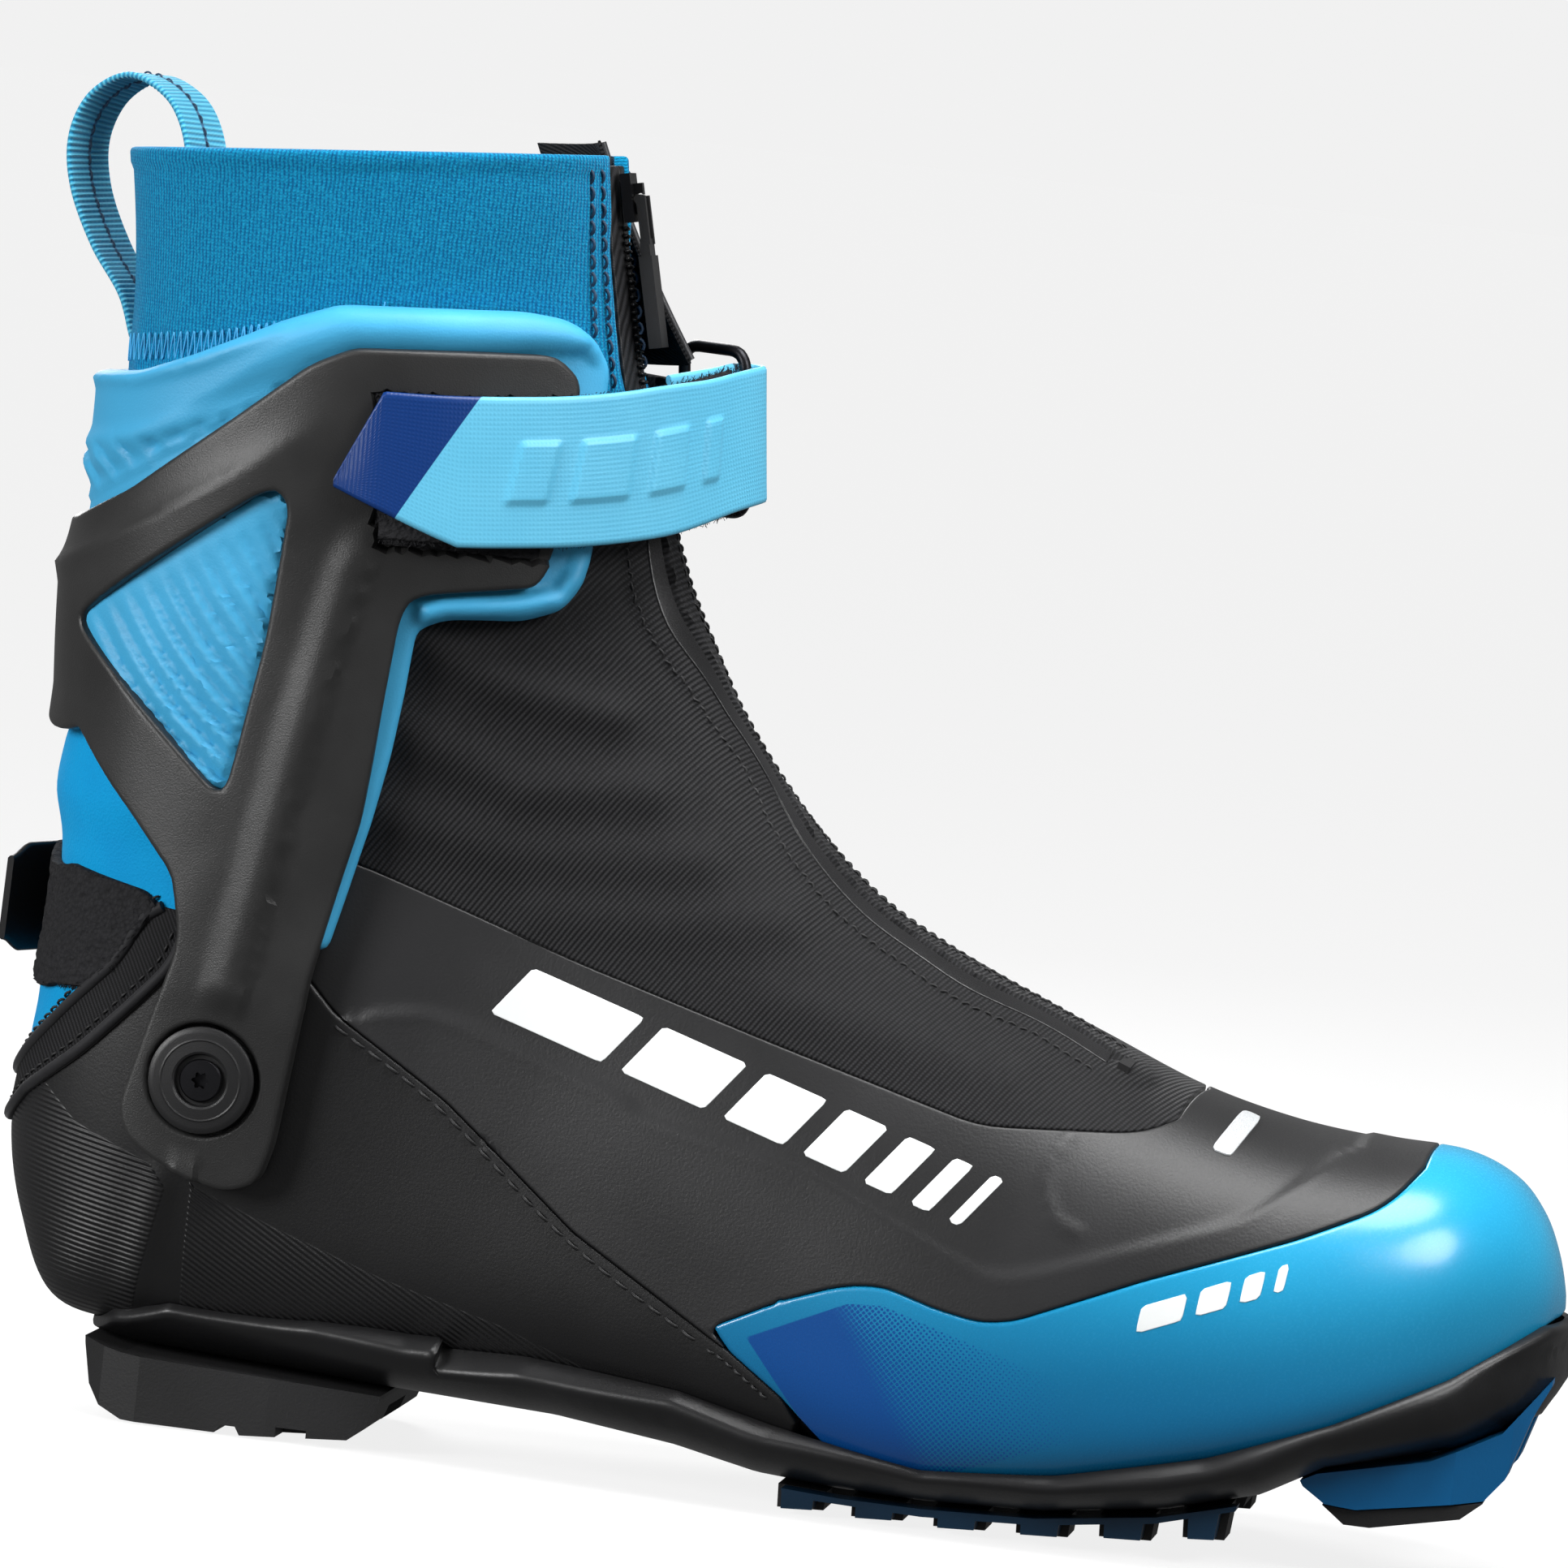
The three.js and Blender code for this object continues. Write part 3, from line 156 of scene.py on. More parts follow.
def normals(s, phi):
    along = bare(np.minimum(s + 0.05, LAST), phi) - bare(np.maximum(s - 0.05, 0), phi)
    round_it = bare(s, phi + 1e-3) - bare(s, phi - 1e-3)
    n = np.cross(round_it, along)
    return n / np.maximum(np.linalg.norm(n, axis=-1, keepdims=True), 1e-9)


HEEL_SIDE = (19, math.pi / 2)   # a place on the outer side, where out is towards -y
FACING = 1 if normals(*HEEL_SIDE)[1] < 0 else -1


def outward(s, phi):
    """The unit normals that point out of the boot."""
    return normals(s, phi) * FACING


def on_last(s, phi, offset=0.0):
    """Points that stand off the upper's outer surface by an offset."""
    s, phi = np.broadcast_arrays(np.asarray(s, float), np.asarray(phi, float))
    return bare(s, phi) + outward(s, phi) * np.asarray(offset, float)[..., None]


SCAN = np.linspace(0, LAST, LAST * 12 + 1)
SCANNED = section_at(SCAN)


def from_side(points):
    """(section, angle) of points seen from the side, x and z; the angle is the lateral one, between 0 and pi."""
    x, z = np.asarray(points, float).reshape(-1, 2).T
    tx, tz, bx, bz = SCANNED[:, :4].T

    def miss(s_row, x, z):
        return (s_row[0] - s_row[2]) * (z - s_row[3]) - (s_row[1] - s_row[3]) * (x - s_row[2])

    far = (tx - bx) * (z[:, None] - bz) - (tz - bz) * (x[:, None] - bx)
    share = ((x[:, None] - bx) * (tx - bx) + (z[:, None] - bz) * (tz - bz)) / ((tx - bx) ** 2 + (tz - bz) ** 2)
    good = (far[:, :-1] * far[:, 1:] <= 0) & (share[:, :-1] > -0.35) & (share[:, :-1] < 1.35)
    first = np.argmax(good, 1)
    low, high = SCAN[first], SCAN[first + 1]
    for _ in range(24):
        middle = (low + high) / 2
        same = miss(section_at(low).T, x, z) * miss(section_at(middle).T, x, z) > 0
        low, high = np.where(same, middle, low), np.where(same, high, middle)
    tx, tz, bx, bz, _, _, widest, low_full, high_full = section_at(low).T
    h = np.clip(((x - bx) * (tx - bx) + (z - bz) * (tz - bz)) / ((tx - bx) ** 2 + (tz - bz) ** 2), 0, 1)
    under = np.clip(1 - h / widest, 0, 1) ** (low_full / 2)
    over = -(np.clip((h - widest) / (1 - widest), 0, 1) ** (high_full / 2))
    return np.stack([low, np.arccos(np.where(h <= widest, under, over))], -1)


def ridge_section(x):
    """The section whose top point, on the boot's middle line, is at x."""
    return np.interp(-np.asarray(x, float), -SCANNED[:, 0], SCAN)


def back_section(z):
    """The section whose lower point, on the back of the heel, is at height z."""
    rear = SCAN >= HEEL_ROW
    return np.interp(z, SCANNED[rear, 3], SCAN[rear])


def front_section(z):
    """The section whose top point, on the front of the leg, is at height z."""
    return float(np.interp(z, SCANNED[:, 1], SCAN))


def ridge_shape(s):
    """The half width, centre y and upper fullness of the sections s."""
    return section_at(s)[:, [4, 5, 8]].T


def cumulative(points):
    """The distance along a polyline to each of its points."""
    return np.concatenate([[0], np.cumsum(np.linalg.norm(np.diff(points, axis=0), axis=1))])


ALONG_BOTTOM = cumulative(bare(SCAN, 0.0))
ALONG_TOP = cumulative(bare(SCAN, math.pi))
TURN = np.linspace(0, 2 * math.pi, 97)
GIRTH = np.array([cumulative(bare(s, TURN))[-1] for s in SCAN]) / (2 * math.pi)


def unrolled(s, phi):
    """The surface laid nearly flat, in millimetres."""
    mix = (1 + np.cos(phi)) / 2
    along = np.interp(s, SCAN, ALONG_BOTTOM) * mix + np.interp(s, SCAN, ALONG_TOP) * (1 - mix)
    return np.stack([along, np.maximum(np.interp(s, SCAN, GIRTH), 6) * phi], -1)


# ---------------------------------------------------------------- outlines
def filleted(points, radius):
    """A polyline with its inner corners rounded, as points."""
    points = np.asarray(points, float)
    made = [points[0]]
    for before, at, after in zip(points, points[1:], points[2:]):
        a, b = before - at, after - at
        reach_a, reach_b = (min(radius, 0.45 * np.linalg.norm(v)) for v in (a, b))
        start, end = at + a / np.linalg.norm(a) * reach_a, at + b / np.linalg.norm(b) * reach_b
        for t in np.linspace(0, 1, 6):
            made.append((1 - t) ** 2 * start + 2 * t * (1 - t) * at + t * t * end)
    made.append(points[-1])
    return np.array(made)


def closed_fillet(points, radius):
    """A closed outline with every corner rounded; its first point is not repeated."""
    points = np.asarray(points, float)
    middle = (points[0] + points[-1]) / 2
    return filleted(np.vstack([middle, points, middle]), radius)[:-1]


def sampled(rows, length, at):
    """Rows of values read at places along a length."""
    return np.stack([np.interp(at, length, column) for column in rows.T], -1)


def spread(rows, count):
    """Rows of values spread over another number of points."""
    return sampled(rows, np.linspace(0, 1, len(rows)), np.linspace(0, 1, count))


def stepped(points, step=1.0):
    """A polyline cut into equal steps."""
    points = np.asarray(points, float)
    length = cumulative(points)
    count = max(2, int(round(length[-1] / step)) + 1)
    return sampled(points, length, np.linspace(0, length[-1], count))


def spline(points, step=1.0):
    """A smooth curve through points, cut into equal steps."""
    points = np.asarray(points, float)
    ends = np.vstack([2 * points[0] - points[1], points, 2 * points[-1] - points[-2]])
    made = []
    for p0, p1, p2, p3 in zip(ends, ends[1:], ends[2:], ends[3:]):
        made.extend(through(p0, p1, p2, p3, t) for t in np.linspace(0, 1, 24, endpoint=False))
    made.append(points[-1])
    return stepped(np.array(made), step)


def mirrored(outline, over="back"):
    """An outline in (section, angle) on the other side, in the opposite order."""
    turned = outline[::-1].copy()
    turned[:, 1] = -turned[:, 1] if over == "back" else 2 * math.pi - turned[:, 1]
    return turned


def both_sides(lateral, over="back"):
    """A closed outline in (section, angle) from its lateral half, which starts and ends on the middle line."""
    return np.vstack([lateral, mirrored(lateral, over)[1:-1]])


def near_line(points, line):
    """Signed distance from points (x, z) to a polyline, positive on its left, and the distance along it."""
    points, line = np.asarray(points, float), np.asarray(line, float)
    best = np.full(len(points), 1e9)
    sign = np.ones(len(points))
    along = np.zeros(len(points))
    start = 0.0
    for a, b in zip(line, line[1:]):
        d = b - a
        size = np.linalg.norm(d)
        t = np.clip(((points - a) @ d) / size ** 2, 0, 1)
        gap = points - (a + t[:, None] * d)
        dist = np.linalg.norm(gap, axis=1)
        closer = dist < best
        best = np.where(closer, dist, best)
        sign = np.where(closer, np.sign(d[0] * gap[:, 1] - d[1] * gap[:, 0]), sign)
        along = np.where(closer, start + t * size, along)
        start += size
    return best * sign, along


def inside(points, loop):
    """Whether each point lies in a closed outline."""
    points, loop = np.asarray(points, float), np.asarray(loop, float)
    x, y = points.T
    crossings = np.zeros(len(points), int)
    order = np.argsort(y)
    for a, b in zip(loop, np.roll(loop, -1, 0)):
        low, high = min(a[1], b[1]), max(a[1], b[1])
        if high > low:
            rows = order[np.searchsorted(y[order], low):np.searchsorted(y[order], high)]
            at = a[0] + (y[rows] - a[1]) * (b[0] - a[0]) / (b[1] - a[1])
            crossings[rows] += x[rows] < at
    return crossings % 2 == 1


def ramp(value, start, end):
    """0 at start, 1 at end, with a soft rise between them."""
    t = np.clip((np.asarray(value, float) - start) / (end - start), 0, 1)
    return t * t * (3 - 2 * t)


def tree_of(points):
    tree = KDTree(len(points))
    for i, p in enumerate(points):
        tree.insert(p, i)
    tree.balance()
    return tree


def nearest(points, targets):
    """The distance from each point to the nearest target."""
    tree = tree_of(targets)
    return np.array([tree.find(p)[2] for p in points])


# ---------------------------------------------------------------- meshes
def new_mesh(name, points, faces, material, sharp=50, uv=None):
    """An object from points in the row's frame, in metres."""
    mesh = bpy.data.meshes.new(name)
    mesh.from_pydata([tuple(p) for p in points], [], [tuple(int(i) for i in f) for f in faces])
    if uv is not None:
        layer = mesh.uv_layers.new(name="surface")
        corner = np.zeros(len(mesh.loops), np.int32)
        mesh.loops.foreach_get("vertex_index", corner)
        layer.data.foreach_set("uv", np.asarray(uv, np.float32)[corner].ravel())
    mesh.polygons.foreach_set("use_smooth", [True] * len(mesh.polygons))
    mesh.set_sharp_from_angle(angle=math.radians(sharp))
    mesh.materials.append(material)
    mesh.validate()
    piece = bpy.data.objects.new(name, mesh)
    bpy.context.scene.collection.objects.link(piece)
    return piece


def settle(piece, body, slot, *nodes):
    """Rides a finished piece on its body and hides the imported nodes that it stands for; slot is not used."""
    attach(piece, body)
    if nodes:
        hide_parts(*nodes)
    return piece


class Patch:
    """A meshed stretch of the last surface, inside a closed outline in (section, angle)."""

    def __init__(self, outline, holes=(), cell=1.4, rim=1.0, weave="side"):
        self.weave = weave
        loops = [self.cut(np.asarray(loop, float)) for loop in (outline, *holes)]
        self.loops = []
        points = []
        for loop in loops:
            self.loops.append(np.arange(len(loop)) + sum(len(p) for p in points))
            points.append(loop)
        edge_count = sum(len(p) for p in points)
        for loop in loops:
            points.extend(self.inset(loop, rim * share, loops) for share in (0.16, 0.42, 0.75, 1.1))
        fixed = np.vstack(points)
        flat_loops = [unrolled(*loop.T) for loop in loops]
        keep = np.ones(len(fixed), bool)
        keep[edge_count:] = self.within(unrolled(*fixed[edge_count:].T), flat_loops)
        edge_solid = bare(*fixed[:edge_count].T)
        near_edge = nearest(bare(*fixed.T), edge_solid)
        keep[edge_count:] &= near_edge[edge_count:] > 0.1 * rim
        fixed = fixed[keep]
        grid = self.lattice(np.vstack(loops), cell)
        grid = grid[self.within(unrolled(*grid.T), flat_loops)]
        solid_grid = bare(*grid.T)
        open_places = nearest(solid_grid, bare(*fixed.T)) > 0.6 * cell
        grid = grid[open_places][self.thinned(solid_grid[open_places], 0.72 * cell)]
        params = np.vstack([fixed, grid])
        flat = unrolled(*params.T)
        borders = [(int(a), int(b)) for loop in self.loops for a, b in zip(loop, np.roll(loop, -1))]
        made = delaunay_2d_cdt([Vector(p) for p in flat], borders, [], 0, 1e-7, True)
        source = np.array([ids[0] if ids else -1 for ids in made[3]])
        faces = np.array([f for f in made[2] if len(f) == 3])
        faces = source[faces]
        centres = flat[faces].mean(1)
        faces = self.flipped(bare(*params.T), faces[self.within(centres, flat_loops)])
        self.s, self.phi = params.T
        self.flat = flat
        self.points = bare(self.s, self.phi)
        self.normals = outward(self.s, self.phi)
        corner = self.points[faces]
        turn = np.cross(corner[:, 1] - corner[:, 0], corner[:, 2] - corner[:, 0])
        flip = np.einsum("ij,ij->i", turn, self.normals[faces].mean(1)) < 0
        faces[flip] = faces[flip][:, ::-1]
        self.faces = faces
        dense = np.vstack([stepped(np.vstack([self.points[loop], self.points[loop[:1]]]), 0.3) for loop in self.loops])
        self.edge = nearest(self.points, dense)
        self.edge[:edge_count] = 0

    @staticmethod
    def thinned(points, least):
        """Which points stay so that no two are closer than a distance."""
        kept, taken = np.zeros(len(points), bool), {}
        cells = np.floor(points / least).astype(int)
        for i, (p, c) in enumerate(zip(points, map(tuple, cells))):
            close = False
            for a in (-1, 0, 1):
                for b in (-1, 0, 1):
                    for d in (-1, 0, 1):
                        other = taken.get((c[0] + a, c[1] + b, c[2] + d))
                        if other is not None and math.dist(other, p) < least:
                            close = True
            if not close:
                taken[c] = p
                kept[i] = True
        return kept

    @staticmethod
    def flipped(points, faces):
        """The same triangles with their inner edges turned so that none is thin on the real surface."""
        mesh = bmesh.new()
        made = [mesh.verts.new(p) for p in points]
        mesh.verts.index_update()
        for face in faces:
            mesh.faces.new([made[i] for i in face])
        bmesh.ops.beautify_fill(mesh, faces=mesh.faces[:], edges=mesh.edges[:], method="ANGLE")
        turned = np.array([[v.index for v in face.verts] for face in mesh.faces])
        mesh.free()
        return turned

    @staticmethod
    def cut(loop, step=1.1):
        """The outline in equal steps along the surface."""
        length = cumulative(bare(*np.vstack([loop, loop[:1]]).T))
        count = max(12, int(round(length[-1] / step)))
        at = np.linspace(0, length[-1], count, endpoint=False)
        around = np.vstack([loop, loop[:1]])
        return sampled(around, length, at)

    @staticmethod
    def inset(loop, distance, loops):
        """The outline moved into the patch by a distance along the surface."""
        d = 1e-3
        ds = (bare(loop[:, 0] + d, loop[:, 1]) - bare(loop[:, 0] - d, loop[:, 1])) / (2 * d)
        dp = (bare(loop[:, 0], loop[:, 1] + d) - bare(loop[:, 0], loop[:, 1] - d)) / (2 * d)
        solid = bare(*loop.T)
        along = np.roll(solid, -1, 0) - np.roll(solid, 1, 0)
        inward = np.cross(normals(*loop.T), along)
        inward /= np.maximum(np.linalg.norm(inward, axis=1, keepdims=True), 1e-9)
        a, b, c = (np.einsum("ij,ij->i", u, v) for u, v in ((ds, ds), (ds, dp), (dp, dp)))
        u, v = np.einsum("ij,ij->i", ds, inward), np.einsum("ij,ij->i", dp, inward)
        det = np.maximum(a * c - b * b, 1e-9)
        step = np.stack([(u * c - v * b) / det, (v * a - u * b) / det], -1) * distance
        flat_loops = [unrolled(*other.T) for other in loops]
        trial = Patch.within(unrolled(*(loop + step * 0.3).T), flat_loops)
        return loop + np.where(trial[:, None], step, -step)

    @staticmethod
    def within(flat, flat_loops):
        kept = inside(flat, flat_loops[0])
        for hole in flat_loops[1:]:
            kept &= ~inside(flat, hole)
        return kept

    @staticmethod
    def lattice(loop, cell):
        low, high = loop.min(0), loop.max(0)
        rate = np.maximum(np.gradient(ALONG_TOP, SCAN), np.gradient(ALONG_BOTTOM, SCAN)) * 0.8
        rows, s = [], low[0]
        while s < high[0]:
            rows.append(s)
            s += cell * 0.87 / max(np.interp(s, SCAN, rate), 1.0)
        made = []
        for k, s in enumerate(rows):
            turn = np.linspace(low[1], high[1], 240)
            length = cumulative(bare(s, turn))
            count = max(2, int(length[-1] / cell))
            at = (np.arange(count) + (0.5 if k % 2 else 0.0)) / count * length[-1]
            made.append(np.stack([np.full(count, s), np.interp(at, length, turn)], -1))
        return np.vstack(made)

    def side_view(self):
        return self.points[:, [0, 2]]

    def laid(self):
        """Coordinates for a weave, in millimetres: along the boot and up, or up and round the leg."""
        x, y, z = self.points.T
        if self.weave == "round":
            return np.stack([z, 44 * np.arctan2(-y, 52 - x)], -1)
        return np.stack([x, z + 0.35 * y], -1)

    def shell(self, name, material, top, low, round_edge=0.8, sharp=50):
        """A closed shell over the patch, from the offset low up to the offset top, its upper edge rounded."""
        high = np.broadcast_to(top, self.s.shape).astype(float)
        radius = np.minimum(round_edge, 0.9 * (high - low))
        drop = radius * (1 - np.sqrt(1 - np.clip(1 - self.edge / radius, 0, 1) ** 2))
        outer = self.points + self.normals * (high - drop)[:, None]
        inner = self.points + self.normals * np.broadcast_to(low, high.shape)[:, None]
        count = len(outer)
        faces = [*self.faces.tolist(), *(self.faces[:, ::-1] + count).tolist()]
        edges = {tuple(e) for f in self.faces for e in ((f[0], f[1]), (f[1], f[2]), (f[2], f[0]))}
        for a, b in edges:
            if (b, a) not in edges:
                faces.append((b, a, a + count, b + count))
        used = np.unique(np.concatenate([np.asarray(f).ravel() for f in faces]))
        renumber = np.full(2 * count, -1)
        renumber[used] = np.arange(len(used))
        points = np.vstack([outer, inner])[used]
        uv = np.vstack([self.laid(), self.laid()])[used] / 10
        faces = [[renumber[i] for i in f] for f in faces]
        return new_mesh(name, placed(points), faces, material, sharp, uv)


# ---------------------------------------------------------------- swept and turned pieces
def unit(vectors):
    vectors = np.asarray(vectors, float)
    return vectors / np.maximum(np.linalg.norm(vectors, axis=-1, keepdims=True), 1e-9)


def between(rings, count, start=0, closed=False, flip=False):
    """Four-cornered faces between rings of count points each, one ring after another."""
    faces = []
    for i in range(rings if closed else rings - 1):
        a, b = start + i * count, start + (i + 1) % rings * count
        for j in range(count):
            k = (j + 1) % count
            faces.append((a + j, b + j, b + k, a + k) if flip else (a + j, a + k, b + k, b + j))
    return faces


def tube_parts(lines, radius, sides=6):
    """Points and faces of closed round tubes along 3-D lines."""
    points, faces, start = [], [], 0
    turn = round_turn(sides)
    for line in lines:
        line = np.asarray(line, float)
        tangent = unit(np.gradient(line, axis=0))
        aside = np.empty_like(tangent)
        last = unit(np.cross(tangent[0], [0.31, 0.17, 0.93]))
        for i, t in enumerate(tangent):
            last = unit(last - t * (last @ t))
            aside[i] = last
        up = np.cross(tangent, aside)
        size = np.broadcast_to(radius, len(line))[:, None, None]
        ring = line[:, None] + size * (aside[:, None] * np.cos(turn)[:, None] + up[:, None] * np.sin(turn)[:, None])
        points.append(ring.reshape(-1, 3))
        faces.extend(between(len(line), sides, start))
        faces.append(tuple(start + j for j in range(sides))[::-1])
        faces.append(tuple(start + (len(line) - 1) * sides + j for j in range(sides)))
        start += len(line) * sides
    return np.vstack(points), faces


def tube(name, line, radius, material, sides=10, sharp=50):
    points, faces = tube_parts([line], radius, sides)
    return new_mesh(name, placed(points), faces, material, sharp)


def stitches(name, line, normal, pitch, long, thread, material, rise=0.3, sink=0.35):
    """A row of thread stitches along 3-D points, each arched between the two holes that it goes down."""
    length = cumulative(line)
    t = np.linspace(0, 1, 6)
    lift = (rise + sink) * np.sin(math.pi * t) ** 0.6 - sink
    starts = np.arange(0.3, length[-1] - long, pitch)
    made = [sampled(line, length, a + t * long) + sampled(normal, length, a + t * long) * lift[:, None]
            for a in starts]
    points, faces = tube_parts(made, thread, 5)
    return new_mesh(name, placed(points), faces, material, 80)


def ribbon(name, route, width, thick, across, material, relief=None, columns=12, step=0.8, sharp=50):
    """A closed flat band along a 3-D route, with round edges. width is a number, or a function of millimetres along
    that gives its two edges; relief(along, aside) is extra height on its outer face."""
    line = spline(route, step)
    tangent = unit(np.gradient(line, axis=0))
    wide = unit(np.broadcast_to(across, line.shape) - tangent * (tangent @ unit(across))[:, None])
    out = unit(np.cross(tangent, wide))
    along = cumulative(line)
    low, high = width(along, along[-1]) if callable(width) else (-width / 2, width / 2)
    low, high = (np.broadcast_to(np.asarray(edge, float), along.shape) for edge in (low, high))
    radius = thick / 2
    turn = np.linspace(90, -90, 5)[1:-1] * math.pi / 180
    share = np.linspace(-1, 1, columns + 1)
    aside = [(v, 0.0, radius) for v in share] + [(1.0, math.cos(a), radius * math.sin(a)) for a in turn]
    aside += [(-v, 0.0, -radius) for v in share] + [(-1.0, -math.cos(a), -radius * math.sin(a)) for a in turn]
    rows = []
    for v, edge, rise in aside:
        place = (low + radius) * (1 - v) / 2 + (high - radius) * (1 + v) / 2 + edge * radius
        extra = relief(along, place) if relief is not None and rise > 0 and edge == 0 else 0.0
        rows.append(line + wide * place[:, None] + out * np.broadcast_to(rise + extra, along.shape)[:, None])
    ring = np.stack(rows, 1)
    count = ring.shape[1]
    faces = between(len(line), count, flip=True)
    faces.append(tuple(range(count)))
    faces.append(tuple(len(line) * count - 1 - j for j in range(count)))
    uv = np.stack([np.repeat(along, count), np.tile([v * 12 for v, _, _ in aside], len(line))], -1) / 10
    return new_mesh(name, placed(ring.reshape(-1, 3)), faces, material, sharp, uv)


def turned(name, profile, side, material, parts=72, centre=PIVOT, sharp=35):
    """A turned piece about a line across the boot; the profile runs round its section as radius and distance out."""
    points = []
    for radius, out in profile:
        for turn in round_turn(parts):
            points.append((centre[0] + radius * math.cos(turn), -side * out, centre[1] + radius * math.sin(turn)))
    faces = [face if side < 0 else face[::-1] for face in between(len(profile), parts, closed=True)]
    return new_mesh(name, placed(points), faces, material, sharp)


def hairs(roots, directions, long, seed, bent=0.7):
    """Lines of short bent fibres that start at given points."""
    rng = np.random.default_rng(seed)
    made = []
    for root, way in zip(roots, directions):
        bend = unit(way + rng.normal(0, bent, 3))
        turn = unit(way + rng.normal(0, bent, 3))
        size = long * rng.uniform(0.4, 1.0)
        made.append([root, root + bend * size * 0.5, root + bend * size * 0.5 + turn * size * 0.5])
    return made


def surface_line(line, side, offset):
    """A line of x and z on the boot's side, as 3-D points and their outward normals."""
    s, phi = from_side(line).T
    return on_last(s, side * phi, np.full(len(s), offset)), outward(s, side * phi)


# ---------------------------------------------------------------- materials
LOW_TONES = 3294.6              # 255 times 12.92, for the straight foot of the sRGB curve


def linear(colour):
    """A colour from 0 to 255 as linear light, with alpha."""
    return (*[c / LOW_TONES if c <= 10 else ((c / 255 + 0.055) / 1.055) ** 2.4 for c in colour], 1.0)


class Look:
    """A Principled material made of nodes. Plain values or sockets go in anywhere."""

    def __init__(self, name):
        self.material = bpy.data.materials.new(name)
        self.material.use_nodes = True
        self.tree = self.material.node_tree
        self.tree.nodes.clear()
        self.shader = self.tree.nodes.new("ShaderNodeBsdfPrincipled")
        output = self.tree.nodes.new("ShaderNodeOutputMaterial")
        self.tree.links.new(self.shader.outputs[0], output.inputs[0])
        self.place = self.node("TexCoord", out=3)
        self.cloth = self.node("UVMap", uv_map="surface")
        self.normal = None

    def feed(self, socket, value):
        if isinstance(value, bpy.types.NodeSocket):
            self.tree.links.new(value, socket)
        else:
            socket.default_value = value

    def node(self, kind, *values, out=0, **settings):
        made = self.tree.nodes.new("ShaderNode" + kind)
        names = {}
        for socket in made.inputs:
            names.setdefault(socket.name.lower().replace(" ", "_"), socket)
        for key, value in settings.items():
            if key in names:
                self.feed(names[key], value)
            else:
                setattr(made, key, value)
        for socket, value in zip(made.inputs, values):
            self.feed(socket, value)
        return made.outputs[out]

    def math(self, operation, *values):
        return self.node("Math", *values, operation=operation)

    def times(self, a, b):
        return self.math("MULTIPLY", a, b)

    def plus(self, a, b):
        return self.math("ADD", a, b)

    def axes(self, vector, scale=1.0):
        parts = self.node("SeparateXYZ", vector).node.outputs
        return [self.math("MULTIPLY", part, scale) for part in parts]

    def noise(self, size, detail=2.0, vector=None, per_unit=1000.0):
        return self.node("TexNoise", vector=vector or self.place, scale=per_unit / size, detail=detail)

    def cells(self, size, vector=None, per_unit=1000.0, out=0):
        return self.node("TexVoronoi", vector=vector or self.place, scale=per_unit / size, out=out)

    def wave(self, value, pitch):
        """0 to 1 and back over each pitch."""
        swing = self.math("SINE", self.math("MULTIPLY", value, 2 * math.pi / pitch))
        return self.math("MULTIPLY_ADD", swing, 0.5, 0.5)

    def step(self, value, low, high):
        return self.node("MapRange", value=value, from_min=low, from_max=high, interpolation_type="SMOOTHSTEP")

    def scaled(self, value, low, high):
        return self.node("MapRange", value=value, to_min=low, to_max=high)

    def mixed(self, share, a, b):
        node = self.tree.nodes.new("ShaderNodeMix")
        node.data_type = "RGBA"
        for socket, value in ((node.inputs[0], share), (node.inputs[6], a), (node.inputs[7], b)):
            self.feed(socket, linear(value) if isinstance(value, tuple) and len(value) == 3 else value)
        return node.outputs[2]

    def relief(self, height, depth):
        """Raises the surface by height times depth, in millimetres."""
        settings = {"normal": self.normal} if self.normal else {}
        self.normal = self.node("Bump", height=height, distance=depth / 1000, strength=1.0, **settings)

    def done(self, colour, roughness, **settings):
        rough_cloth = isinstance(roughness, float) and roughness > 0.6
        settings.setdefault("specular_ior_level", 0.15 if rough_cloth else 0.4)
        if isinstance(colour, tuple) and len(colour) == 3:
            colour = linear(colour)
        self.feed(self.shader.inputs["Base Color"], colour)
        self.feed(self.shader.inputs["Roughness"], roughness)
        for key, value in settings.items():
            self.feed(self.shader.inputs[key.replace("_", " ").title().replace("Ior", "IOR")], value)
        if self.normal:
            self.feed(self.shader.inputs["Normal"], self.normal)
        return self.material


def moulded(name, colour, rough, grain=0.35, depth=0.03, tint=0.12, **settings):
    """Moulded plastic, rubber or film with a fine even grain and faint scuffs."""
    look = Look(name)
    light = tuple(min(255, c * (1 + tint) + 5) for c in colour)
    cloud = look.noise(38, 4)
    fine = look.noise(grain, 3)
    scuff = look.step(look.noise(7, 6), 0.62, 0.78)
    base = look.mixed(look.step(cloud, 0.35, 0.7), colour, light)
    base = look.mixed(look.times(scuff, 0.25), base, light)
    look.relief(fine, depth)
    return look.done(base, look.scaled(fine, rough - 0.05, rough + 0.09), **settings)


